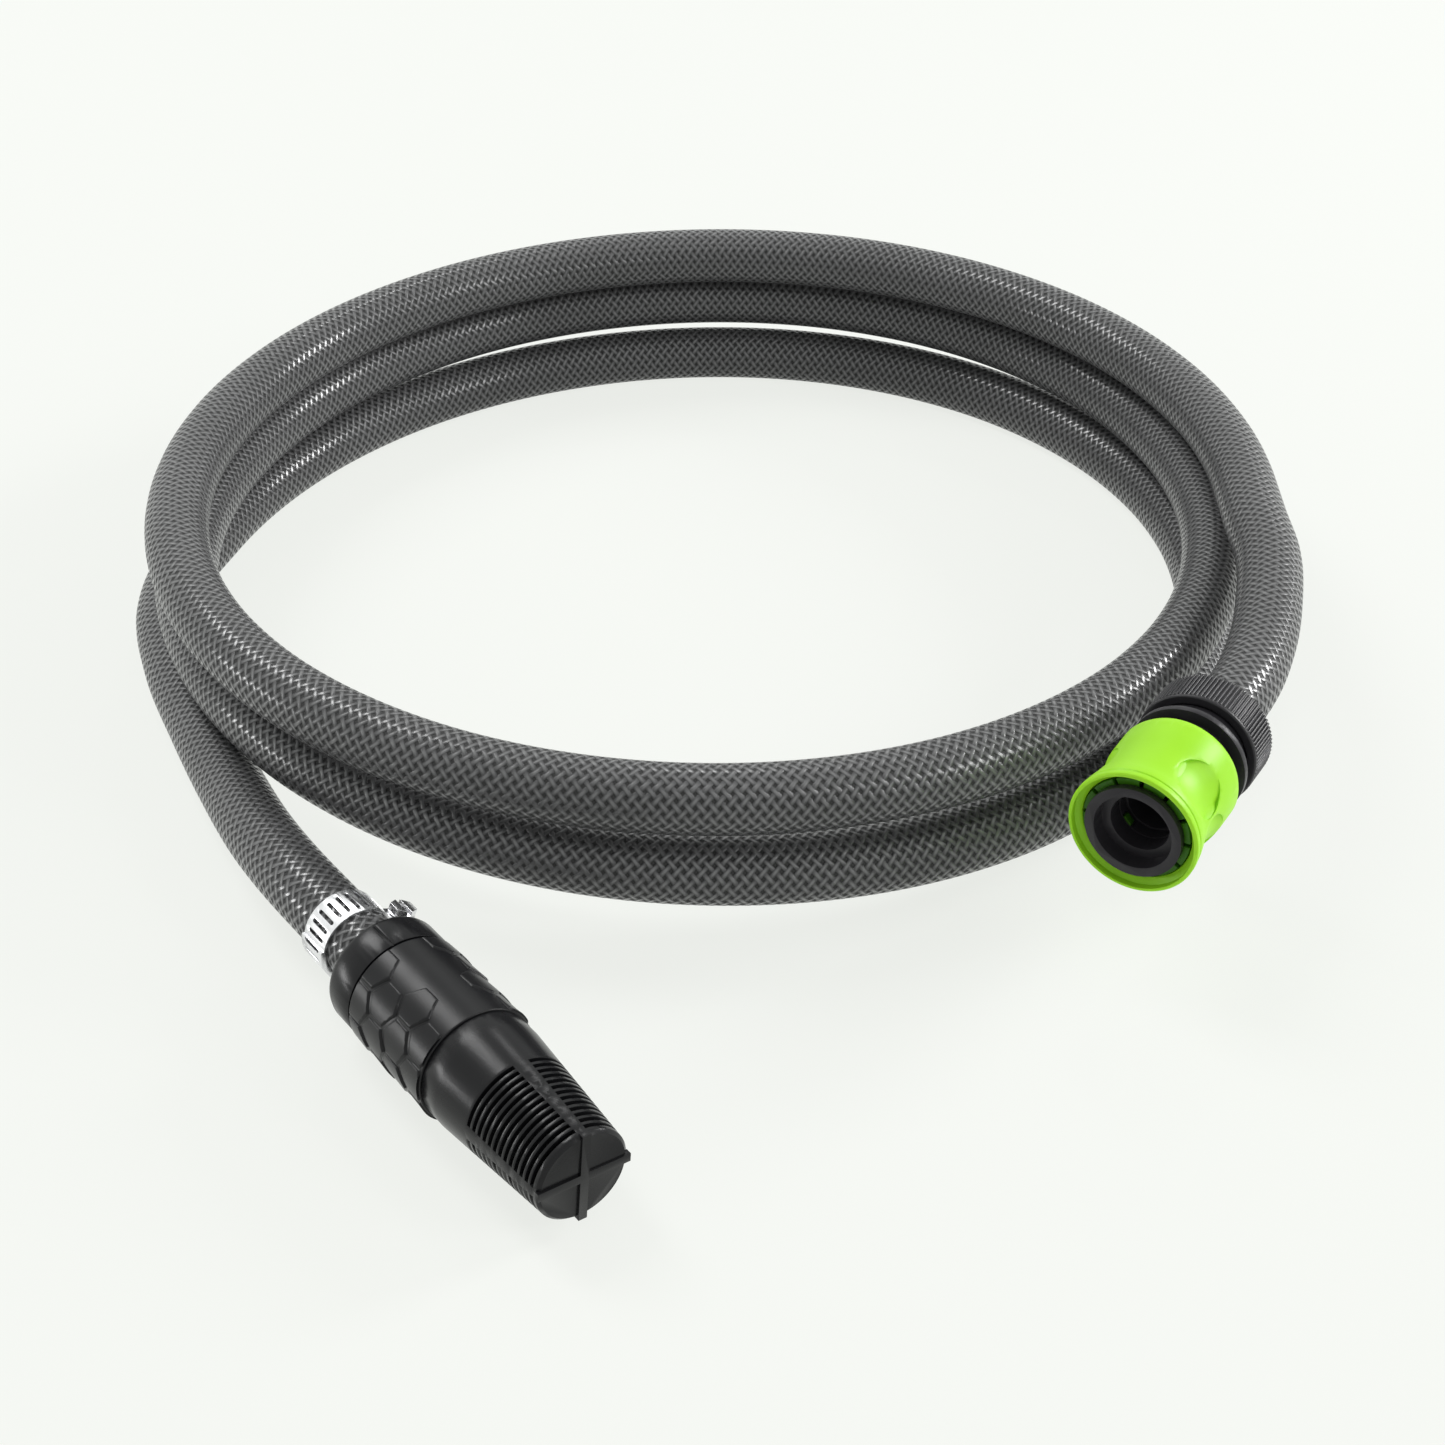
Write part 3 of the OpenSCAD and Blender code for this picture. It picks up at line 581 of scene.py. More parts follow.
def scale_tree() -> GroupTree:
    """Makes a honeycomb of rising scales on both flanks of a round grip.

    A field of hexagons is laid out flat, X round the grip and Y along it, and then wrapped. Each
    scale's edge ramps up over a rim and starts a little under the grip's own surface.

    Returns:
        The geometry tree.
    """
    rim, sunk_depth = 0.3, 0.15
    gaps, left_end = 3, -1.6
    tree = GroupTree("honeycomb_scales", "GeometryNodeTree", {
        "Cell": (NUMBER, 9.8),
        "Gap": (NUMBER, 0.22),
        "Radius": (NUMBER, 15.1),
        "First": (NUMBER, 12.85),
        "Relief": (NUMBER, 0.6),
        "Low": (NUMBER, 10.8),
        "High": (NUMBER, 41.4),
        "Roll": (NUMBER, 0.0),
        "Material": (MATERIAL, None),
    }, {"Geometry": "NodeSocketGeometry"})
    given = tree.given
    cell, tall = given["Cell"], math.sqrt(3) / 2
    corner = tree.math("DIVIDE", cell, 2 * tall)
    hexagon = tree.add("GeometryNodeMeshCircle", fill_type="TRIANGLE_FAN")
    hexagon.inputs["Vertices"].default_value = 6
    tree.feed(hexagon.inputs["Radius"], tree.math("SUBTRACT", corner, given["Gap"]))
    upright = tree.made_of(
        "GeometryNodeTransform", Geometry=hexagon.outputs[0], Rotation=(0, 0, math.radians(30)))
    fine = tree.made_of("GeometryNodeSubdivideMesh", Mesh=upright, Level=4)

    x, y, _ = tree.split(tree.add("GeometryNodeInputPosition").outputs[0])
    half_x, tall_y = tree.math("MULTIPLY", x, 0.5), tree.math("MULTIPLY", y, tall)
    flats = [
        tree.math("ABSOLUTE", across)
        for across in (x, tree.math("ADD", half_x, tall_y), tree.math("SUBTRACT", half_x, tall_y))
    ]
    widest = tree.math("MAXIMUM", tree.math("MAXIMUM", flats[0], flats[1]), flats[2])
    apothem = tree.math("SUBTRACT", tree.math("MULTIPLY", cell, 0.5), given["Gap"])
    edge = tree.ranged(tree.math("SUBTRACT", apothem, widest), (0.0, rim))
    slope = tree.math("DIVIDE", tree.math("ADD", y, corner), tree.math("MULTIPLY", corner, 2.0))
    ramp = tree.math("MULTIPLY", tree.math("MULTIPLY", slope, given["Relief"]), edge)
    sunk = tree.math("MULTIPLY", tree.math("SUBTRACT", edge, 1.0), sunk_depth)
    rise = tree.vector(z=tree.math("ADD", ramp, sunk))
    scale = tree.made_of("GeometryNodeSetPosition", Geometry=fine, Offset=rise)

    column = tree.math("MULTIPLY", cell, tall)
    grid = tree.made_of(
        "GeometryNodeMeshGrid", Size_X=tree.math("MULTIPLY", cell, gaps),
        Size_Y=tree.math("MULTIPLY", column, gaps), Vertices_X=gaps + 1, Vertices_Y=gaps + 1)
    _, row, _ = tree.split(tree.add("GeometryNodeInputPosition").outputs[0])
    index = tree.math("ROUND", tree.math("ADD", tree.math("DIVIDE", row, column), gaps / 2))
    odd = tree.math("MODULO", index, 2.0)
    shift = tree.vector(
        tree.math("MULTIPLY", tree.math("MULTIPLY", odd, cell), -0.5),
        tree.math("ADD", given["First"], tree.math("MULTIPLY", column, gaps / 2)))
    staggered = tree.made_of("GeometryNodeSetPosition", Geometry=grid, Offset=shift)
    place, _, _ = tree.split(tree.add("GeometryNodeInputPosition").outputs[0])
    beyond = tree.math("LESS_THAN", place, tree.math("MULTIPLY", cell, left_end))
    kept = tree.made_of("GeometryNodeDeleteGeometry", Geometry=staggered, Selection=beyond)
    laid = tree.made_of("GeometryNodeInstanceOnPoints", Points=kept, Instance=scale)
    flat = tree.made_of("GeometryNodeRealizeInstances", Geometry=laid)

    across, along, out = tree.split(tree.add("GeometryNodeInputPosition").outputs[0])
    turn = tree.math(
        "ADD", tree.math("DIVIDE", across, given["Radius"]),
        tree.math("ADD", given["Roll"], math.pi / 2))
    reach = tree.math("ADD", given["Radius"], out)
    bent = tree.vector(
        tree.math("MULTIPLY", reach, tree.math("COSINE", turn)),
        tree.math("MULTIPLY", reach, tree.math("SINE", turn)),
        tree.math("MINIMUM", tree.math("MAXIMUM", along, given["Low"]), given["High"]))
    wrapped = tree.made_of("GeometryNodeSetPosition", Geometry=flat, Position=bent)
    other = tree.made_of("GeometryNodeTransform", Geometry=wrapped, Rotation=(0, 0, math.pi))
    both = tree.add("GeometryNodeJoinGeometry")
    for flank in (wrapped, other):
        tree.feed(both.inputs[0], flank)
    return close_tree(tree, tree.made_of("GeometryNodeFlipFaces", Mesh=both.outputs[0]))


# ---------------------------------------------------------------------------------------
# Finishes
# ---------------------------------------------------------------------------------------
class Surface(Wiring):
    """A new material, which is wired up to its Principled shader."""

    def __init__(self, name: str) -> None:
        """Makes the material.

        Args:
            name: Its name.
        """
        self.material = bpy.data.materials.new(name)
        self.material.use_nodes = True
        super().__init__(self.material.node_tree)
        self.shader = self.tree.nodes["Principled BSDF"]

    def show(self, label: str, value: object) -> None:
        """Feeds a named input of the shader with a socket or a value."""
        self.feed(self.shader.inputs[label], value)

    def grouped(self, group: bpy.types.NodeTree, **inputs: float) -> bpy.types.NodeOutputs:
        """Adds a shared shader group.

        Args:
            group: The group's tree.
            **inputs: Value of each named input, a space written as an underscore.

        Returns:
            The group's outputs, which are taken by name.
        """
        node = self.add("ShaderNodeGroup", node_tree=group)
        for label, value in inputs.items():
            self.feed(node.inputs[label.replace("_", " ")], value)
        return node.outputs

    def emboss(self, height: bpy.types.NodeSocket, depth: float, strength: float = 1.0) -> None:
        """Bumps the surface.

        Args:
            height: Output that holds the height.
            depth: Millimetres that a height of 1 stands for.
            strength: Share of the bump that shows.
        """
        bump = self.made_of(
            "ShaderNodeBump", Strength=strength, Distance=depth * MM, Height=height)
        self.show("Normal", bump)


def handling_group() -> bpy.types.NodeTree:
    """Makes the shader group of a surface seen up close: clouding, smears and grain.

    Returns:
        The group's tree.
    """
    tree = GroupTree(
        "handling",
        "ShaderNodeTree",
        {"Cloud size": (NUMBER, 0.02), "Grain size": (NUMBER, 0.0006)},
        {"Cloud": NUMBER, "Smear": NUMBER, "Grain": NUMBER},
    )
    place = tree.add("ShaderNodeTexCoord").outputs["Object"]
    for label, size, detail, seed in (
        ("Cloud", "Cloud size", 3.0, 1.0),
        ("Smear", "Cloud size", 6.0, 7.0),
        ("Grain", "Grain size", 2.0, 3.0),
    ):
        noise = tree.add("ShaderNodeTexNoise", noise_dimensions="4D")
        tree.feed(noise.inputs["Vector"], place)
        tree.feed(noise.inputs["Scale"], tree.math("DIVIDE", 1.0, tree.given[size]))
        noise.inputs["Detail"].default_value = detail
        noise.inputs["W"].default_value = seed
        tree.feed(tree.result[label], noise.outputs["Fac"])
    return tree.tree


def braid_group() -> bpy.types.NodeTree:
    """Makes the shader group of a sleeve braided from round yarns.

    It reads the hose's own UV map, in which U counts turns round the hose and V counts metres
    along it. Height is 1 on a yarn's back, and more where it crosses over another.

    Returns:
        The group's tree.
    """
    yarn_heights, crest_heights = (0.25, 0.85), (0.9, 1.14)
    tree = GroupTree("braid", "ShaderNodeTree", {
        "Yarns": (NUMBER, 16.0),
        "Pitch": (NUMBER, 0.0029),
        "Cover": (NUMBER, 0.68),
        "Weave": (NUMBER, 0.16),
    }, {"Height": NUMBER, "Yarn": NUMBER, "Crest": NUMBER})
    given = tree.given
    turns, run, _ = tree.split(tree.add("ShaderNodeUVMap", uv_map="along_hose").outputs[0])
    around = tree.math("MULTIPLY", turns, given["Yarns"])
    along = tree.math("DIVIDE", run, given["Pitch"])
    lays = [tree.math("ADD", around, along), tree.math("SUBTRACT", around, along)]
    waves, humps = [], []
    for lay in lays:
        waves.append(tree.math("SINE", tree.math("MULTIPLY", lay, math.pi)))
        across = tree.math("MULTIPLY", tree.math("FRACT", lay), 2.0)
        off = tree.math("ABSOLUTE", tree.math("SUBTRACT", across, 1.0))
        near = tree.math("DIVIDE", off, given["Cover"])
        rest = tree.math("SUBTRACT", 1.0, tree.math("MULTIPLY", near, near))
        humps.append(tree.math("SQRT", tree.math("MAXIMUM", rest, 0.0)))
    lift = tree.math("MULTIPLY", tree.math("MULTIPLY", waves[0], waves[1]), given["Weave"])
    over = tree.math("ADD", humps[0], lift)
    under = tree.math("SUBTRACT", humps[1], lift)
    height = tree.math("MAXIMUM", over, under)
    tree.feed(tree.result["Height"], height)
    # Yarn and Crest are the masks of the painted shade in the gaps and the painted highlight on the
    # crests.
    tree.feed(tree.result["Yarn"], tree.ranged(height, yarn_heights))
    tree.feed(tree.result["Crest"], tree.ranged(height, crest_heights))
    return tree.tree


@dataclass(frozen=True)
class Moulding:
    """A moulded plastic or rubber, clouded from its colour to a deeper one.

    Grain and its size are in millimetres, and the size of the clouds is in metres.
    """

    name: str
    colour: Colour
    deep: Colour
    roughness: float
    spread: float
    grain: float
    grain_size: float
    sheen: float = 0.3
    cloud_size: float = 0.018
    clouds: Span = (0.3, 0.75)
    smears: Span = (0.3, 0.7)

    def material(self, handling: bpy.types.NodeTree) -> bpy.types.Material:
        """Builds the material.

        Args:
            handling: The shared group of surface marks.

        Returns:
            The material.
        """
        face = Surface(self.name)
        marks = face.grouped(handling, Cloud_size=self.cloud_size, Grain_size=self.grain_size * MM)
        face.show("Base Color", face.blended(
            face.ranged(marks["Cloud"], self.clouds), self.colour, self.deep))
        face.show("Roughness", face.ranged(
            marks["Smear"], self.smears,
            (self.roughness - self.spread, self.roughness + self.spread)))
        face.show("Specular IOR Level", self.sheen)
        face.emboss(marks["Grain"], self.grain)
        return face.material


@dataclass(frozen=True)
class Metal:
    """A drawn or rolled metal, brushed along one way.

    The scratches' fineness counts them in a metre, and their depth is in millimetres.
    """

    name: str
    colour: Colour
    roughness: float
    spread: float
    stretch: tuple[float, float, float]
    dimming: float = 0.82
    fineness: float = 900.0
    detail: float = 4.0
    scratches: float = 0.15
    scratch_depth: float = 0.01
    dark_streaks: Span = (0.35, 0.7)
    dull_streaks: Span = (0.3, 0.7)

    def material(self) -> bpy.types.Material:
        """Builds the material.

        Returns:
            The material.
        """
        face = Surface(self.name)
        face.show("Metallic", 1.0)
        place = face.made_of(
            "ShaderNodeMapping", Scale=self.stretch,
            Rotation=(0, 0, math.radians(-STRAINER.heading)),
            Vector=face.add("ShaderNodeTexCoord").outputs["Object"])
        brush = face.made_of(
            "ShaderNodeTexNoise", Scale=self.fineness, Detail=self.detail, Vector=place)
        dark = tuple(self.dimming * c for c in self.colour)
        face.show("Base Color", face.blended(
            face.ranged(brush, self.dark_streaks), self.colour, dark))
        face.show("Roughness", face.ranged(
            brush, self.dull_streaks, (self.roughness - self.spread, self.roughness + self.spread)))
        face.emboss(brush, self.scratch_depth, self.scratches)
        return face.material


@dataclass(frozen=True)
class BraidedSleeve:
    """The grey braid that shows through the hose's clear skin.

    The skin is glossy only over the crossings, so that they glint in rows.
    """

    name: str = "braided_hose"
    yarn: Colour = (0.094, 0.094, 0.096)
    # Painted shade: the gaps between yarns are darkened to this colour, and the random clouds also
    # darken towards it.
    shadow: Colour = (0.024, 0.024, 0.024)
    # Painted highlight: the crossings' crests are lightened to this colour.
    crest_highlight: Colour = (0.16, 0.16, 0.163)
    depth: float = 0.6
    cloud_size: float = 0.03
    clouds: Span = (0.3, 0.7)
    clouding: Span = (0.0, 0.25)
    roughness: Span = (0.6, 0.32)
    sheen: float = 0.3
    crossings: Span = (0.9, 1.13)
    gloss: Span = (0.03, 1.0)
    skin_roughness: float = 0.16

    def material(
        self, braid: bpy.types.NodeTree, handling: bpy.types.NodeTree
    ) -> bpy.types.Material:
        """Builds the material.

        Args:
            braid: The shared group of the weave.
            handling: The shared group of surface marks.

        Returns:
            The material.
        """
        face = Surface(self.name)
        weave = face.grouped(braid)
        marks = face.grouped(handling, Cloud_size=self.cloud_size)
        # Painted shade in the gaps between yarns, then a painted highlight on the crossings'
        # crests.
        tone = face.blended(weave["Yarn"], self.shadow, self.yarn)
        bright = face.blended(weave["Crest"], tone, self.crest_highlight)
        uneven = face.ranged(marks["Cloud"], self.clouds, self.clouding)
        face.show("Base Color", face.blended(uneven, bright, self.shadow))
        face.show("Roughness", face.ranged(weave["Yarn"], (0.0, 1.0), self.roughness))
        face.show("Specular IOR Level", self.sheen)
        face.show("Coat Weight", face.ranged(weave["Height"], self.crossings, self.gloss))
        face.show("Coat Roughness", self.skin_roughness)
        face.emboss(weave["Height"], self.depth)
        return face.material


class Finish(Enum):
    """The finishes of the set's pieces."""

    CORE = "connector_core"
    JAW = "jaw_ring"
    SLEEVE = "release_sleeve"
    NUT = "hose_nut"
    HOSE = "hose"
    STEEL = "clamp_steel"
    STRAINER = "strainer_plastic"
    GRIP = "grip"
    SEAL = "seal_rubber"
    VALVE = "valve_plastic"
    WIRE = "spring_wire"


class Paintbox:
    """Every finish of the set, made once."""

    def __init__(self) -> None:
        """Builds the groups and the materials."""
        handling = handling_group()
        mouldings = {
            Finish.CORE: Moulding(
                "charcoal_body", colour=(0.030, 0.028, 0.032), deep=(0.022, 0.021, 0.024),
                roughness=0.34, spread=0.06, grain=0.02, grain_size=0.5, sheen=0.22),
            # The jaws have their own green, darkened further to paint the shade that falls inside
            # the connector's mouth.
            Finish.JAW: Moulding(
                "green_jaws_painted_shade", colour=(0.045, 0.165, 0.006), deep=(0.038, 0.14, 0.005),
                roughness=0.42, spread=0.06, grain=0.02, grain_size=0.5, sheen=0.22),
            Finish.SLEEVE: Moulding(
                "lime_sleeve", colour=(0.38, 0.80, 0.026), deep=(0.34, 0.75, 0.021),
                roughness=0.4, spread=0.05, grain=0.012, grain_size=0.4, sheen=0.22),
            Finish.NUT: Moulding(
                "charcoal_nut", colour=(0.032, 0.031, 0.034), deep=(0.024, 0.023, 0.026),
                roughness=0.36, spread=0.06, grain=0.02, grain_size=0.5, sheen=0.25),
            Finish.STRAINER: Moulding(
                "black_nose", colour=(0.010, 0.010, 0.011), deep=(0.007, 0.007, 0.008),
                roughness=0.27, spread=0.04, grain=0.012, grain_size=0.5, sheen=0.22),
            Finish.GRIP: Moulding(
                "black_grip", colour=(0.010, 0.010, 0.011), deep=(0.007, 0.007, 0.008),
                roughness=0.3, spread=0.05, grain=0.015, grain_size=0.4, sheen=0.22),
            Finish.SEAL: Moulding(
                "seal_rubber", colour=(0.012, 0.012, 0.012), deep=(0.02, 0.02, 0.02),
                roughness=0.6, spread=0.08, grain=0.03, grain_size=0.3),
            Finish.VALVE: Moulding(
                "valve_plastic", colour=(0.05, 0.05, 0.055), deep=(0.035, 0.035, 0.04),
                roughness=0.4, spread=0.08, grain=0.02, grain_size=0.5),
        }
        self.materials: dict[Finish, bpy.types.Material] = {
            finish: moulding.material(handling) for finish, moulding in mouldings.items()
        }
        self.materials[Finish.HOSE] = BraidedSleeve().material(braid_group(), handling)
        self.materials[Finish.STEEL] = Metal(
            "clamp_steel", colour=(0.88, 0.88, 0.90), roughness=0.26, spread=0.05,
            stretch=(1.0, 0.06, 0.06)).material()
        self.materials[Finish.WIRE] = Metal(
            "spring_wire", colour=(0.70, 0.70, 0.72), roughness=0.24, spread=0.05,
            stretch=(1.0, 1.0, 1.0)).material()

    def dress(self, piece: bpy.types.Object, finish: Finish) -> None:
        """Gives a piece one finish all over.

        Args:
            piece: The piece.
            finish: Its finish.
        """
        piece.data.materials.clear()
        piece.data.materials.append(self.materials[finish])
        for face in piece.data.polygons:
            face.material_index = 0

    def dress_node(self, node: bpy.types.Object, finish: Finish) -> None:
        """Gives a frame node one finish, with its mesh as it is.

        Args:
            node: The node's object.
            finish: Its finish.
        """
        if not node.material_slots:
            node.data.materials.append(self.materials[finish])
        for slot in node.material_slots:
            slot.material = self.materials[finish]


@dataclass
class SubAssembly:
    """Pieces that are built together from the frame's nodes."""

    nodes: dict[str, bpy.types.Object]
    paint: Paintbox
    made: list[bpy.types.Object] = field(default_factory=list)

    def settle(
        self, piece: bpy.types.Object, body: str, finish: Finish, replaced: Sequence[str] = ()
    ) -> bpy.types.Object:
        """Dresses a new piece and gives it its body.

        Args:
            piece: The piece.
            body: The body that it rides on.
            finish: Its finish.
            replaced: Frame nodes that it stands for.

        Returns:
            The piece.
        """
        self.paint.dress(piece, finish)
        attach(piece, body)
        if replaced:
            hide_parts(*replaced)
        self.made.append(piece)
        LOG.info("%s: %d faces on %s", piece.name, len(piece.data.polygons), body)
        return piece

    def soften(self, node: str, name: str, body: str, finish: Finish, width: float) -> None:
        """Replaces a frame node with its own shape, its edges rounded by a width in millimetres."""
        self.settle(softened(name, self.nodes[node], width), body, finish, [node])


# ---------------------------------------------------------------------------------------
# Hose
# ---------------------------------------------------------------------------------------
@dataclass
class Hose(SubAssembly):
    """The braided hose, one tube from the connector's stem to the strainer's.

    The points of its two free stretches are written as beside_coil takes them.
    """

    diameter: float = 18.0
    sides: int = 32
    step: float = 3.0
    sharp_angle: float = 60.0
    coil_squeeze: float = 5.0
    coil_push: float = 14.0
    coil_oval: float = 3.0
    coil_drift: float = 2.0
    oval_heading: float = 60.0
    layer_step: float = 18.6
    lie_z: float = 7.2
    end_angle: float = 885.0
    drops: tuple[tuple[float, float], ...] = ((295.0, 185.0), (635.0, 170.0))
    lead_points: tuple[tuple[float, float, float], ...] = (
        (-28.5, 9.3, 42.4), (-21.4, 5.8, 43.2), (-14.0, 2.8, 44.0))
    tail_points: tuple[tuple[float, float, float], ...] = (
        (183.0, 4.7, 7.2), (194.2, 1.3, 7.2), (206.2, -0.4, 7.2), (217.3, 3.6, 9.0),
        (228.0, 13.0, 13.0))
    lead_start: float = 38.3
    lead_straight: float = 67.55
    tail_straight: float = -32.5
    tail_end: float = 5.6

    def coil_point(self, angle: float) -> Vector:
        """Centre line of the coil, three layers high, which steps down twice.

        Args:
            angle: Running angle in degrees.

        Returns:
            The place in millimetres.
        """
        w = math.sin(math.pi * angle / self.end_angle)
        oval = self.coil_oval * math.cos(math.radians(2 * (angle - self.oval_heading)))
        radius = COIL_RADIUS - self.coil_squeeze * w + oval
        fallen = sum(smooth_step((angle - start) / length + 0.5) for start, length in self.drops)
        turn = math.radians(angle)
        return Vector((
            COIL_MIDDLE[0] - self.coil_drift * angle / 360 + radius * math.cos(turn),
            COIL_MIDDLE[1] + self.coil_push * w + radius * math.sin(turn),
            self.lie_z + self.layer_step * (len(self.drops) - fallen),
        ))

    def coil_heading(self, angle: float) -> Vector:
        """Unit vector of the coil's way at a running angle."""
        return (self.coil_point(angle + 0.5) - self.coil_point(angle - 0.5)).normalized()

    def eased(self, corners: list[Vector], first: Vector, last: Vector) -> list[Vector]:
        """A smooth line through points.

        Args:
            corners: The points, in millimetres.
            first: Heading at the first one.
            last: Heading at the last one.

        Returns:
            Points about one step apart, from the first to the last.
        """
        spans = [(b - a).length for a, b in zip(corners, corners[1:])]
        slopes = [(b - a) / span for a, b, span in zip(corners, corners[1:], spans)]
        headings = [first]
        for i in range(1, len(corners) - 1):
            share = spans[i] / (spans[i - 1] + spans[i])
            headings.append(slopes[i - 1] * share + slopes[i] * (1 - share))
        headings.append(last)
        line = [corners[0]]
        for i, span in enumerate(spans):
            count = max(2, round(span / self.step))
            for k in range(1, count + 1):
                t = k / count
                line.append(
                    corners[i] * (2 * t**3 - 3 * t**2 + 1)
                    + headings[i] * span * (t**3 - 2 * t**2 + t)
                    + corners[i + 1] * (3 * t**2 - 2 * t**3)
                    + headings[i + 1] * span * (t**3 - t**2)
                )
        return line

    def route(self) -> list[Vector]:
        """The hose's centre line.

        Returns:
            Points from the connector to the strainer, in millimetres.
        """
        start_way, end_way = self.coil_heading(0), self.coil_heading(self.end_angle)
        coil_start = self.coil_point(0) - self.diameter * start_way
        coil_end = self.coil_point(self.end_angle) + self.diameter * end_way
        straight_end = CONNECTOR.point(self.lead_straight)
        lead = self.eased(
            [CONNECTOR.point(self.lead_start), straight_end], CONNECTOR.run, CONNECTOR.run)
        lead += self.eased(
            [straight_end, *(beside_coil(*p) for p in self.lead_points), coil_start],
            CONNECTOR.run, start_way)[1:]
        count = round(math.radians(self.end_angle) * COIL_RADIUS / self.step)
        lead += self.eased([coil_start, self.coil_point(0)], start_way, start_way)[1:]
        coil = [self.coil_point(self.end_angle * i / count) for i in range(1, count + 1)]
        tail = self.eased([self.coil_point(self.end_angle), coil_end], end_way, end_way)[1:]
        straight_start = STRAINER.point(self.tail_straight)
        tail += self.eased(
            [coil_end, *(beside_coil(*p) for p in self.tail_points), straight_start],
            end_way, STRAINER.run)[1:]
        tail += self.eased(
            [straight_start, STRAINER.point(self.tail_end)], STRAINER.run, STRAINER.run)[1:]
        return lead + coil + tail

    def build(self) -> None:
        line = self.route()
        radius = self.diameter / 2
        shape = bmesh.new()
        wrap = shape.loops.layers.uv.new("along_hose")
        rings, stations, run = [], [], 0.0
        for i, centre in enumerate(line):
            before, after = line[max(i - 1, 0)], line[min(i + 1, len(line) - 1)]
            way = (after - before).normalized()
            side = Vector((0, 0, 1)).cross(way).normalized()
            up = way.cross(side)
            if i:
                run += (centre - line[i - 1]).length
            ring = []
            for k in range(self.sides):
                turn = 2 * math.pi * k / self.sides
                place = centre + (side * math.cos(turn) + up * math.sin(turn)) * radius
                place.z = max(place.z, 0.0)
                ring.append(shape.verts.new(place * MM))
            rings.append(ring)
            stations.append(run * MM)
        for i in range(len(rings) - 1):
            for k in range(self.sides):
                n = (k + 1) % self.sides
                face = shape.faces.new((rings[i][k], rings[i][n], rings[i + 1][n], rings[i + 1][k]))
                corners = ((k, i), (k + 1, i), (k + 1, i + 1), (k, i + 1))
                for loop, (turn, ring) in zip(face.loops, corners):
                    loop[wrap].uv = (turn / self.sides, stations[ring])
        for ring in (list(reversed(rings[0])), rings[-1]):
            shape.faces.new(ring)
        bmesh.ops.recalc_face_normals(shape, faces=shape.faces)
        mesh = bpy.data.meshes.new("hose")
        shape.to_mesh(mesh)
        shape.free()
        smooth(mesh, self.sharp_angle)
        piece = self.settle(
            new_object("hose", mesh), "set", Finish.HOSE, ["hose_lead", "hose_coil", "hose_tail"])


# ---------------------------------------------------------------------------------------
# Quick connector
# ---------------------------------------------------------------------------------------
@dataclass
class QuickConnector(SubAssembly):
    """The release sleeve, the core with its jaws, and the nut that holds the hose.

    Stations count from the mouth towards the hose.
    """

    core_edge: float = 0.14
    jaw_edge: float = 0.12
    sleeve_edge: float = 0.22
    collet_edge: float = 0.12
    nut_edge: float = 0.2
    spring_wire: float = 0.8
    spring_curls: float = 3.0
    spring_mean: float = 14.1
    spring_low: float = 18.9
    spring_high: float = 25.8
    sleeve_travel: float = 4.0
    nut_outline: tuple[tuple[float, float], ...] = (
        (13.5, 39.3), (15.5, 39.3), (15.8, 39.6), (15.8, 40.3), (15.4, 40.3), (15.4, 50.4),
        (12.8, 53.8), (9.3, 53.8), (9.3, 52.8), (11.5, 52.8), (13.2, 45.5), (13.5, 45.5))
    nut_ribs: int = 90
    rib_centre: float = 15.5
    rib_radius: float = 0.4
    rib_low: float = 40.2
    rib_high: float = 50.3

    def build(self, springs: GroupTree, ribs: GroupTree) -> None:
        """Builds the connector.

        Args:
            springs: The geometry tree of coil springs.
            ribs: The geometry tree of ribs round a turned piece.
        """
        self.soften("connector_core", "core_body", "set", Finish.CORE, self.core_edge)
        self.soften("jaw_ring", "jaw_fingers", "set", Finish.JAW, self.jaw_edge)
        self.soften("release_sleeve", "lime_sleeve", "sleeve", Finish.SLEEVE, self.sleeve_edge)
        self.soften("clamp_collet", "collet_body", "collet", Finish.NUT, self.collet_edge)
        nut = turned("nut_body", list(self.nut_outline), CONNECTOR, self.nut_edge)
        self.settle(nut, "nut", Finish.NUT, ["hose_nut"])
        self.settle(ribs.made("nut_ribs", {
            "Count": self.nut_ribs, "Radius": self.rib_centre, "Rib": self.rib_radius,
            "Low": self.rib_low, "High": self.rib_high,
            "Material": self.paint.materials[Finish.NUT]}, CONNECTOR), "nut", Finish.NUT)
        spring = springs.made("sleeve_return_spring", {
            "Mean radius": self.spring_mean, "Wire": self.spring_wire, "Curls": self.spring_curls,
            "Low": self.spring_low, "High": self.spring_high,
            "Material": self.paint.materials[Finish.WIRE]}, CONNECTOR)
        self.settle(spring, "set", Finish.WIRE, ["sleeve_spring"])
        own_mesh(spring)


# ---------------------------------------------------------------------------------------
# Clamp
# ---------------------------------------------------------------------------------------
@dataclass
class WormClamp(SubAssembly):
    """The slotted band, the screw's housing and the screw."""

    band_edge: float = 0.08
    housing_edge: float = 0.12
    screw_edge: float = 0.1

    def build(self) -> None:
        """Builds the clamp."""
        self.soften("clamp_band", "band", "set", Finish.STEEL, self.band_edge)
        self.soften("clamp_housing", "screw_housing", "set", Finish.STEEL, self.housing_edge)
        self.soften("clamp_screw", "worm_screw", "worm_screw", Finish.STEEL, self.screw_edge)


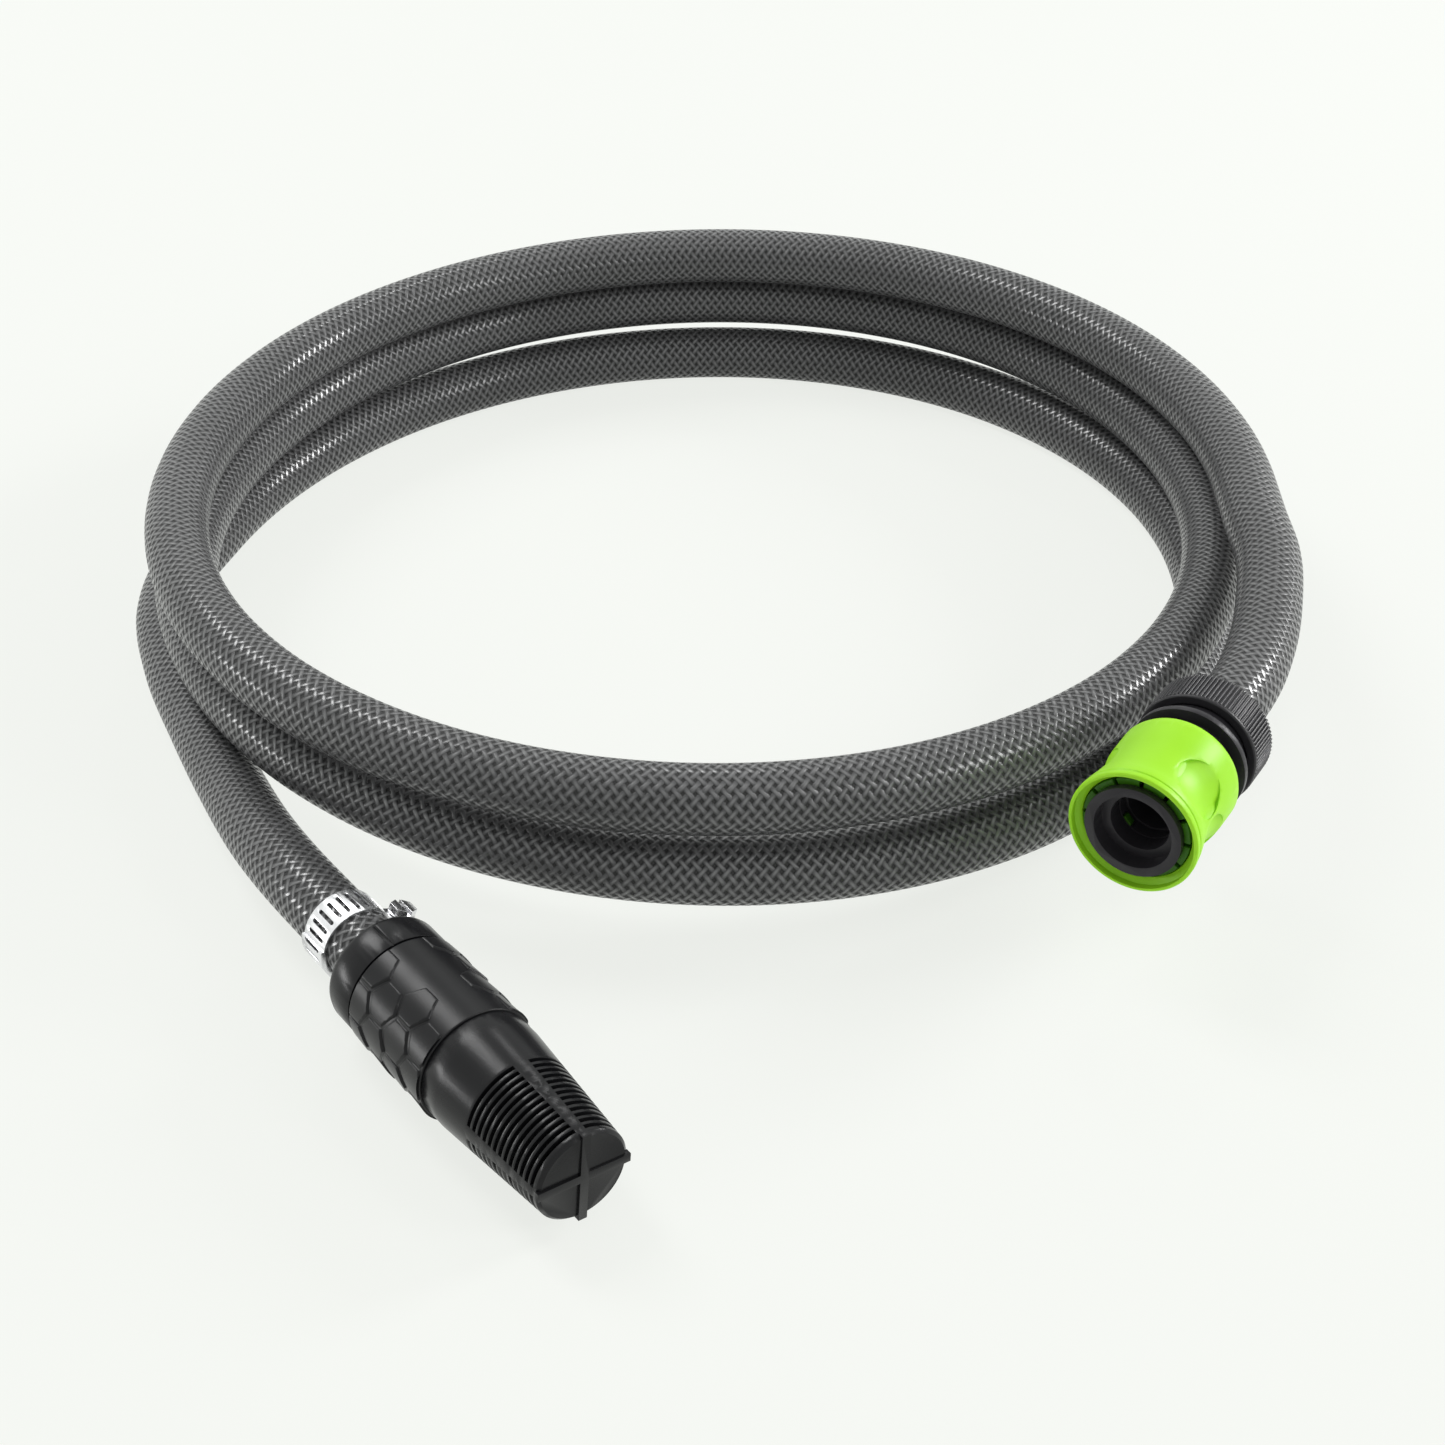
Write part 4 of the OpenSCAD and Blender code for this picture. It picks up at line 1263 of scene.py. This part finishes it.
# ---------------------------------------------------------------------------------------
# Strainer
# ---------------------------------------------------------------------------------------
@dataclass
class Strainer(SubAssembly):
    """The collar, the grip with its scales, the slotted nose and the foot valve.

    Stations count from the collar's rear towards the nose.
    """

    collar_edge: float = 0.14
    nose_edge: float = 0.28
    shell_edge: float = 0.3
    roll: float = -5.0
    grip_r: float = 15.1
    grip_chamfer: float = 0.4
    shell_gap: float = 0.1
    body_start: float = 10.3
    body_end: float = 41.9
    boss_r: float = 14.25
    boss_len: float = 2.8
    tube_r: float = 13.5
    cell: float = 9.8
    first_cell: float = 2.55
    field_margin: float = 0.5
    relief: float = 0.6
    valve_wire: float = 0.8
    valve_curls: float = 5.0
    valve_mean: float = 4.2
    valve_low: float = 24.3
    valve_high: float = 36.8
    poppet_lift: float = 4.0

    def build(self, springs: GroupTree, scales: GroupTree) -> None:
        """Builds the strainer.

        Args:
            springs: The geometry tree of coil springs.
            scales: The geometry tree of the grip's honeycomb.
        """
        self.soften("hose_adapter", "hose_collar", "set", Finish.STRAINER, self.collar_edge)
        self.soften("strainer_basket", "slotted_nose", "basket", Finish.STRAINER, self.nose_edge)
        start, end, chamfer = self.body_start, self.body_end, self.grip_chamfer
        over_boss, over_tube = self.boss_r + self.shell_gap, self.tube_r + self.shell_gap
        boss_end = start + self.boss_len + self.shell_gap
        shell = turned("grip_shell", [
            (over_boss, start), (self.grip_r - chamfer, start), (self.grip_r, start + chamfer),
            (self.grip_r, end), (over_tube, end), (over_tube, boss_end), (over_boss, boss_end),
        ], STRAINER, self.shell_edge)
        field_piece = scales.made("grip_scales", {
            "Cell": self.cell, "Radius": self.grip_r, "First": start + self.first_cell,
            "Relief": self.relief, "Roll": math.radians(self.roll),
            "Low": start + self.field_margin, "High": end - self.field_margin,
            "Material": self.paint.materials[Finish.GRIP]}, STRAINER)
        self.settle(shell, "basket", Finish.GRIP, ["grip_sleeve"])
        self.settle(field_piece, "basket", Finish.GRIP)
        spring = springs.made("valve_closing_spring", {
            "Mean radius": self.valve_mean, "Wire": self.valve_wire, "Curls": self.valve_curls,
            "Low": self.valve_low, "High": self.valve_high,
            "Material": self.paint.materials[Finish.WIRE]}, STRAINER)
        self.settle(spring, "basket", Finish.WIRE, ["valve_spring"])
        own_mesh(spring)
        for node, finish in (
            ("basket_seal", Finish.SEAL), ("valve_guide", Finish.VALVE),
            ("valve_poppet", Finish.VALVE), ("poppet_washer", Finish.SEAL),
            ("valve_seat", Finish.VALVE),
        ):
            self.paint.dress_node(self.nodes[node], finish)


# ---------------------------------------------------------------------------------------
# Studio
# ---------------------------------------------------------------------------------------
def seen_directly(tree: Wiring) -> bpy.types.NodeSocket:
    """The share of a ray that comes from the camera, from gloss or through glass.

    Args:
        tree: The material's or the world's tree.

    Returns:
        The output that holds it.
    """
    path = tree.add("ShaderNodeLightPath")
    glossy = tree.math("MAXIMUM", path.outputs["Is Camera Ray"], path.outputs["Is Glossy Ray"])
    return tree.math("MAXIMUM", glossy, path.outputs["Is Transmission Ray"])


@dataclass(frozen=True)
class Lamp:
    """A soft panel that faces the middle of the scene, in metres and watts."""

    name: str
    place: tuple[float, float, float]
    width: float
    height: float
    power: float

    def hang(self) -> None:
        """Puts the panel in the scene."""
        light = bpy.data.lights.new(self.name, "AREA")
        light.shape = "RECTANGLE"
        light.size = self.width
        light.size_y = self.height
        light.energy = self.power
        holder = bpy.data.objects.new(self.name, light)
        holder.location = self.place
        holder.visible_camera = False
        holder.rotation_euler = (-Vector(self.place)).to_track_quat("-Z", "Y").to_euler()
        bpy.context.scene.collection.objects.link(holder)


@dataclass
class Studio:
    """The camera, the pale floor and the lights.

    The camera's place is in millimetres, and the floor's half width in metres.
    """

    target: tuple[float, float, float] = (6.13, 26.9, -31.53)
    elevation: float = 35.31
    distance: float = 734.51
    lens: float = 59.55
    sensor: float = 36.0
    nearest: float = 10.0
    floor_half: float = 3.0
    floor_tones: tuple[Colour, Colour] = ((0.90, 0.915, 0.89), (0.91, 0.92, 0.905))
    floor_clouds: float = 2.0
    floor_roughness: float = 0.9
    floor_sheen: float = 0.2
    floor_glow: Colour = (0.92, 0.94, 0.90)
    glow_share: float = 0.84
    sky: Colour = (0.94, 0.96, 0.94)
    sky_strength: Span = (0.42, 1.0)

    def camera(self) -> None:
        """Sets the camera."""
        data = bpy.data.cameras.new("camera")
        data.lens = self.lens
        data.sensor_width = self.sensor
        data.clip_start = self.nearest * MM
        holder = bpy.data.objects.new("camera", data)
        rise = math.radians(self.elevation)
        out = Vector((0, -math.cos(rise), math.sin(rise)))
        holder.location = (Vector(self.target) + out * self.distance) * MM
        holder.rotation_euler = (math.pi / 2 - rise, 0, 0)
        bpy.context.scene.collection.objects.link(holder)
        bpy.context.scene.camera = holder

    def floor(self) -> None:
        """Lays the floor."""
        mesh = bpy.data.meshes.new("floor")
        half = self.floor_half
        corners = [(-half, -half, 0), (half, -half, 0), (half, half, 0), (-half, half, 0)]
        mesh.from_pydata(corners, [], [(0, 1, 2, 3)])
        piece = new_object("floor", mesh)
        face = Surface("pale_floor")
        cloud = face.made_of(
            "ShaderNodeTexNoise", Scale=self.floor_clouds,
            Vector=face.add("ShaderNodeTexCoord").outputs["Object"])
        face.show("Base Color", face.blended(cloud, *self.floor_tones))
        face.show("Roughness", self.floor_roughness)
        face.show("Specular IOR Level", self.floor_sheen)
        pale = face.made_of("ShaderNodeEmission", Color=(*self.floor_glow, 1))
        mix = face.add("ShaderNodeMixShader")
        share = face.math("MULTIPLY", seen_directly(face), self.glow_share)
        face.fill(mix, (share, face.shader.outputs[0], pale))
        face.feed(face.tree.nodes["Material Output"].inputs["Surface"], mix.outputs[0])
        mesh.materials.append(face.material)

    def lights(self) -> None:
        """Sets the world and the lamps."""
        world = bpy.data.worlds.new("studio")
        bpy.context.scene.world = world
        world.use_nodes = True
        tree = Wiring(world.node_tree)
        backdrop = world.node_tree.nodes["Background"]
        backdrop.inputs["Color"].default_value = (*self.sky, 1)
        tree.feed(backdrop.inputs["Strength"], tree.ranged(
            seen_directly(tree), (0.0, 1.0), self.sky_strength))
        for lamp in (
            Lamp("back", place=(0.15, 1.5, 1.6), width=0.18, height=0.18, power=1.8),
            Lamp("over", place=(-0.93, 0.82, 1.53), width=0.6, height=1.0, power=17.0),
            Lamp("right", place=(1.5, 0.6, 0.75), width=0.5, height=0.5, power=18.0),
            Lamp("left", place=(-1.6, -0.05, 0.14), width=0.5, height=0.26, power=4.5),
            Lamp("front", place=(1.4, -0.6, 0.9), width=0.5, height=0.5, power=6.5),
        ):
            lamp.hang()

    def view(self) -> None:
        """Sets the plain view transform."""
        bpy.context.scene.view_settings.view_transform = "Standard"


def report(pieces: Iterable[bpy.types.Object]) -> None:
    """Logs how many faces the new pieces have."""
    LOG.info("faces in all: %d", sum(len(piece.data.polygons) for piece in pieces))


def main() -> None:
    """Builds the camera, the hose, the fittings and the studio, in that order."""
    logging.basicConfig(level=logging.INFO, format="%(message)s")
    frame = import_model()
    studio = Studio()
    studio.camera()
    paint = Paintbox()
    nodes = frame["nodes"]
    hose = Hose(nodes, paint)
    hose.build()
    springs = spring_tree()
    connector = QuickConnector(nodes, paint)
    connector.build(springs, rib_tree())
    clamp = WormClamp(nodes, paint)
    clamp.build()
    strainer = Strainer(nodes, paint)
    strainer.build(springs, scale_tree())
    studio.floor()
    studio.lights()
    studio.view()
    report(piece for group in (hose, connector, clamp, strainer) for piece in group.made)


if __name__ == "__main__":
    main()
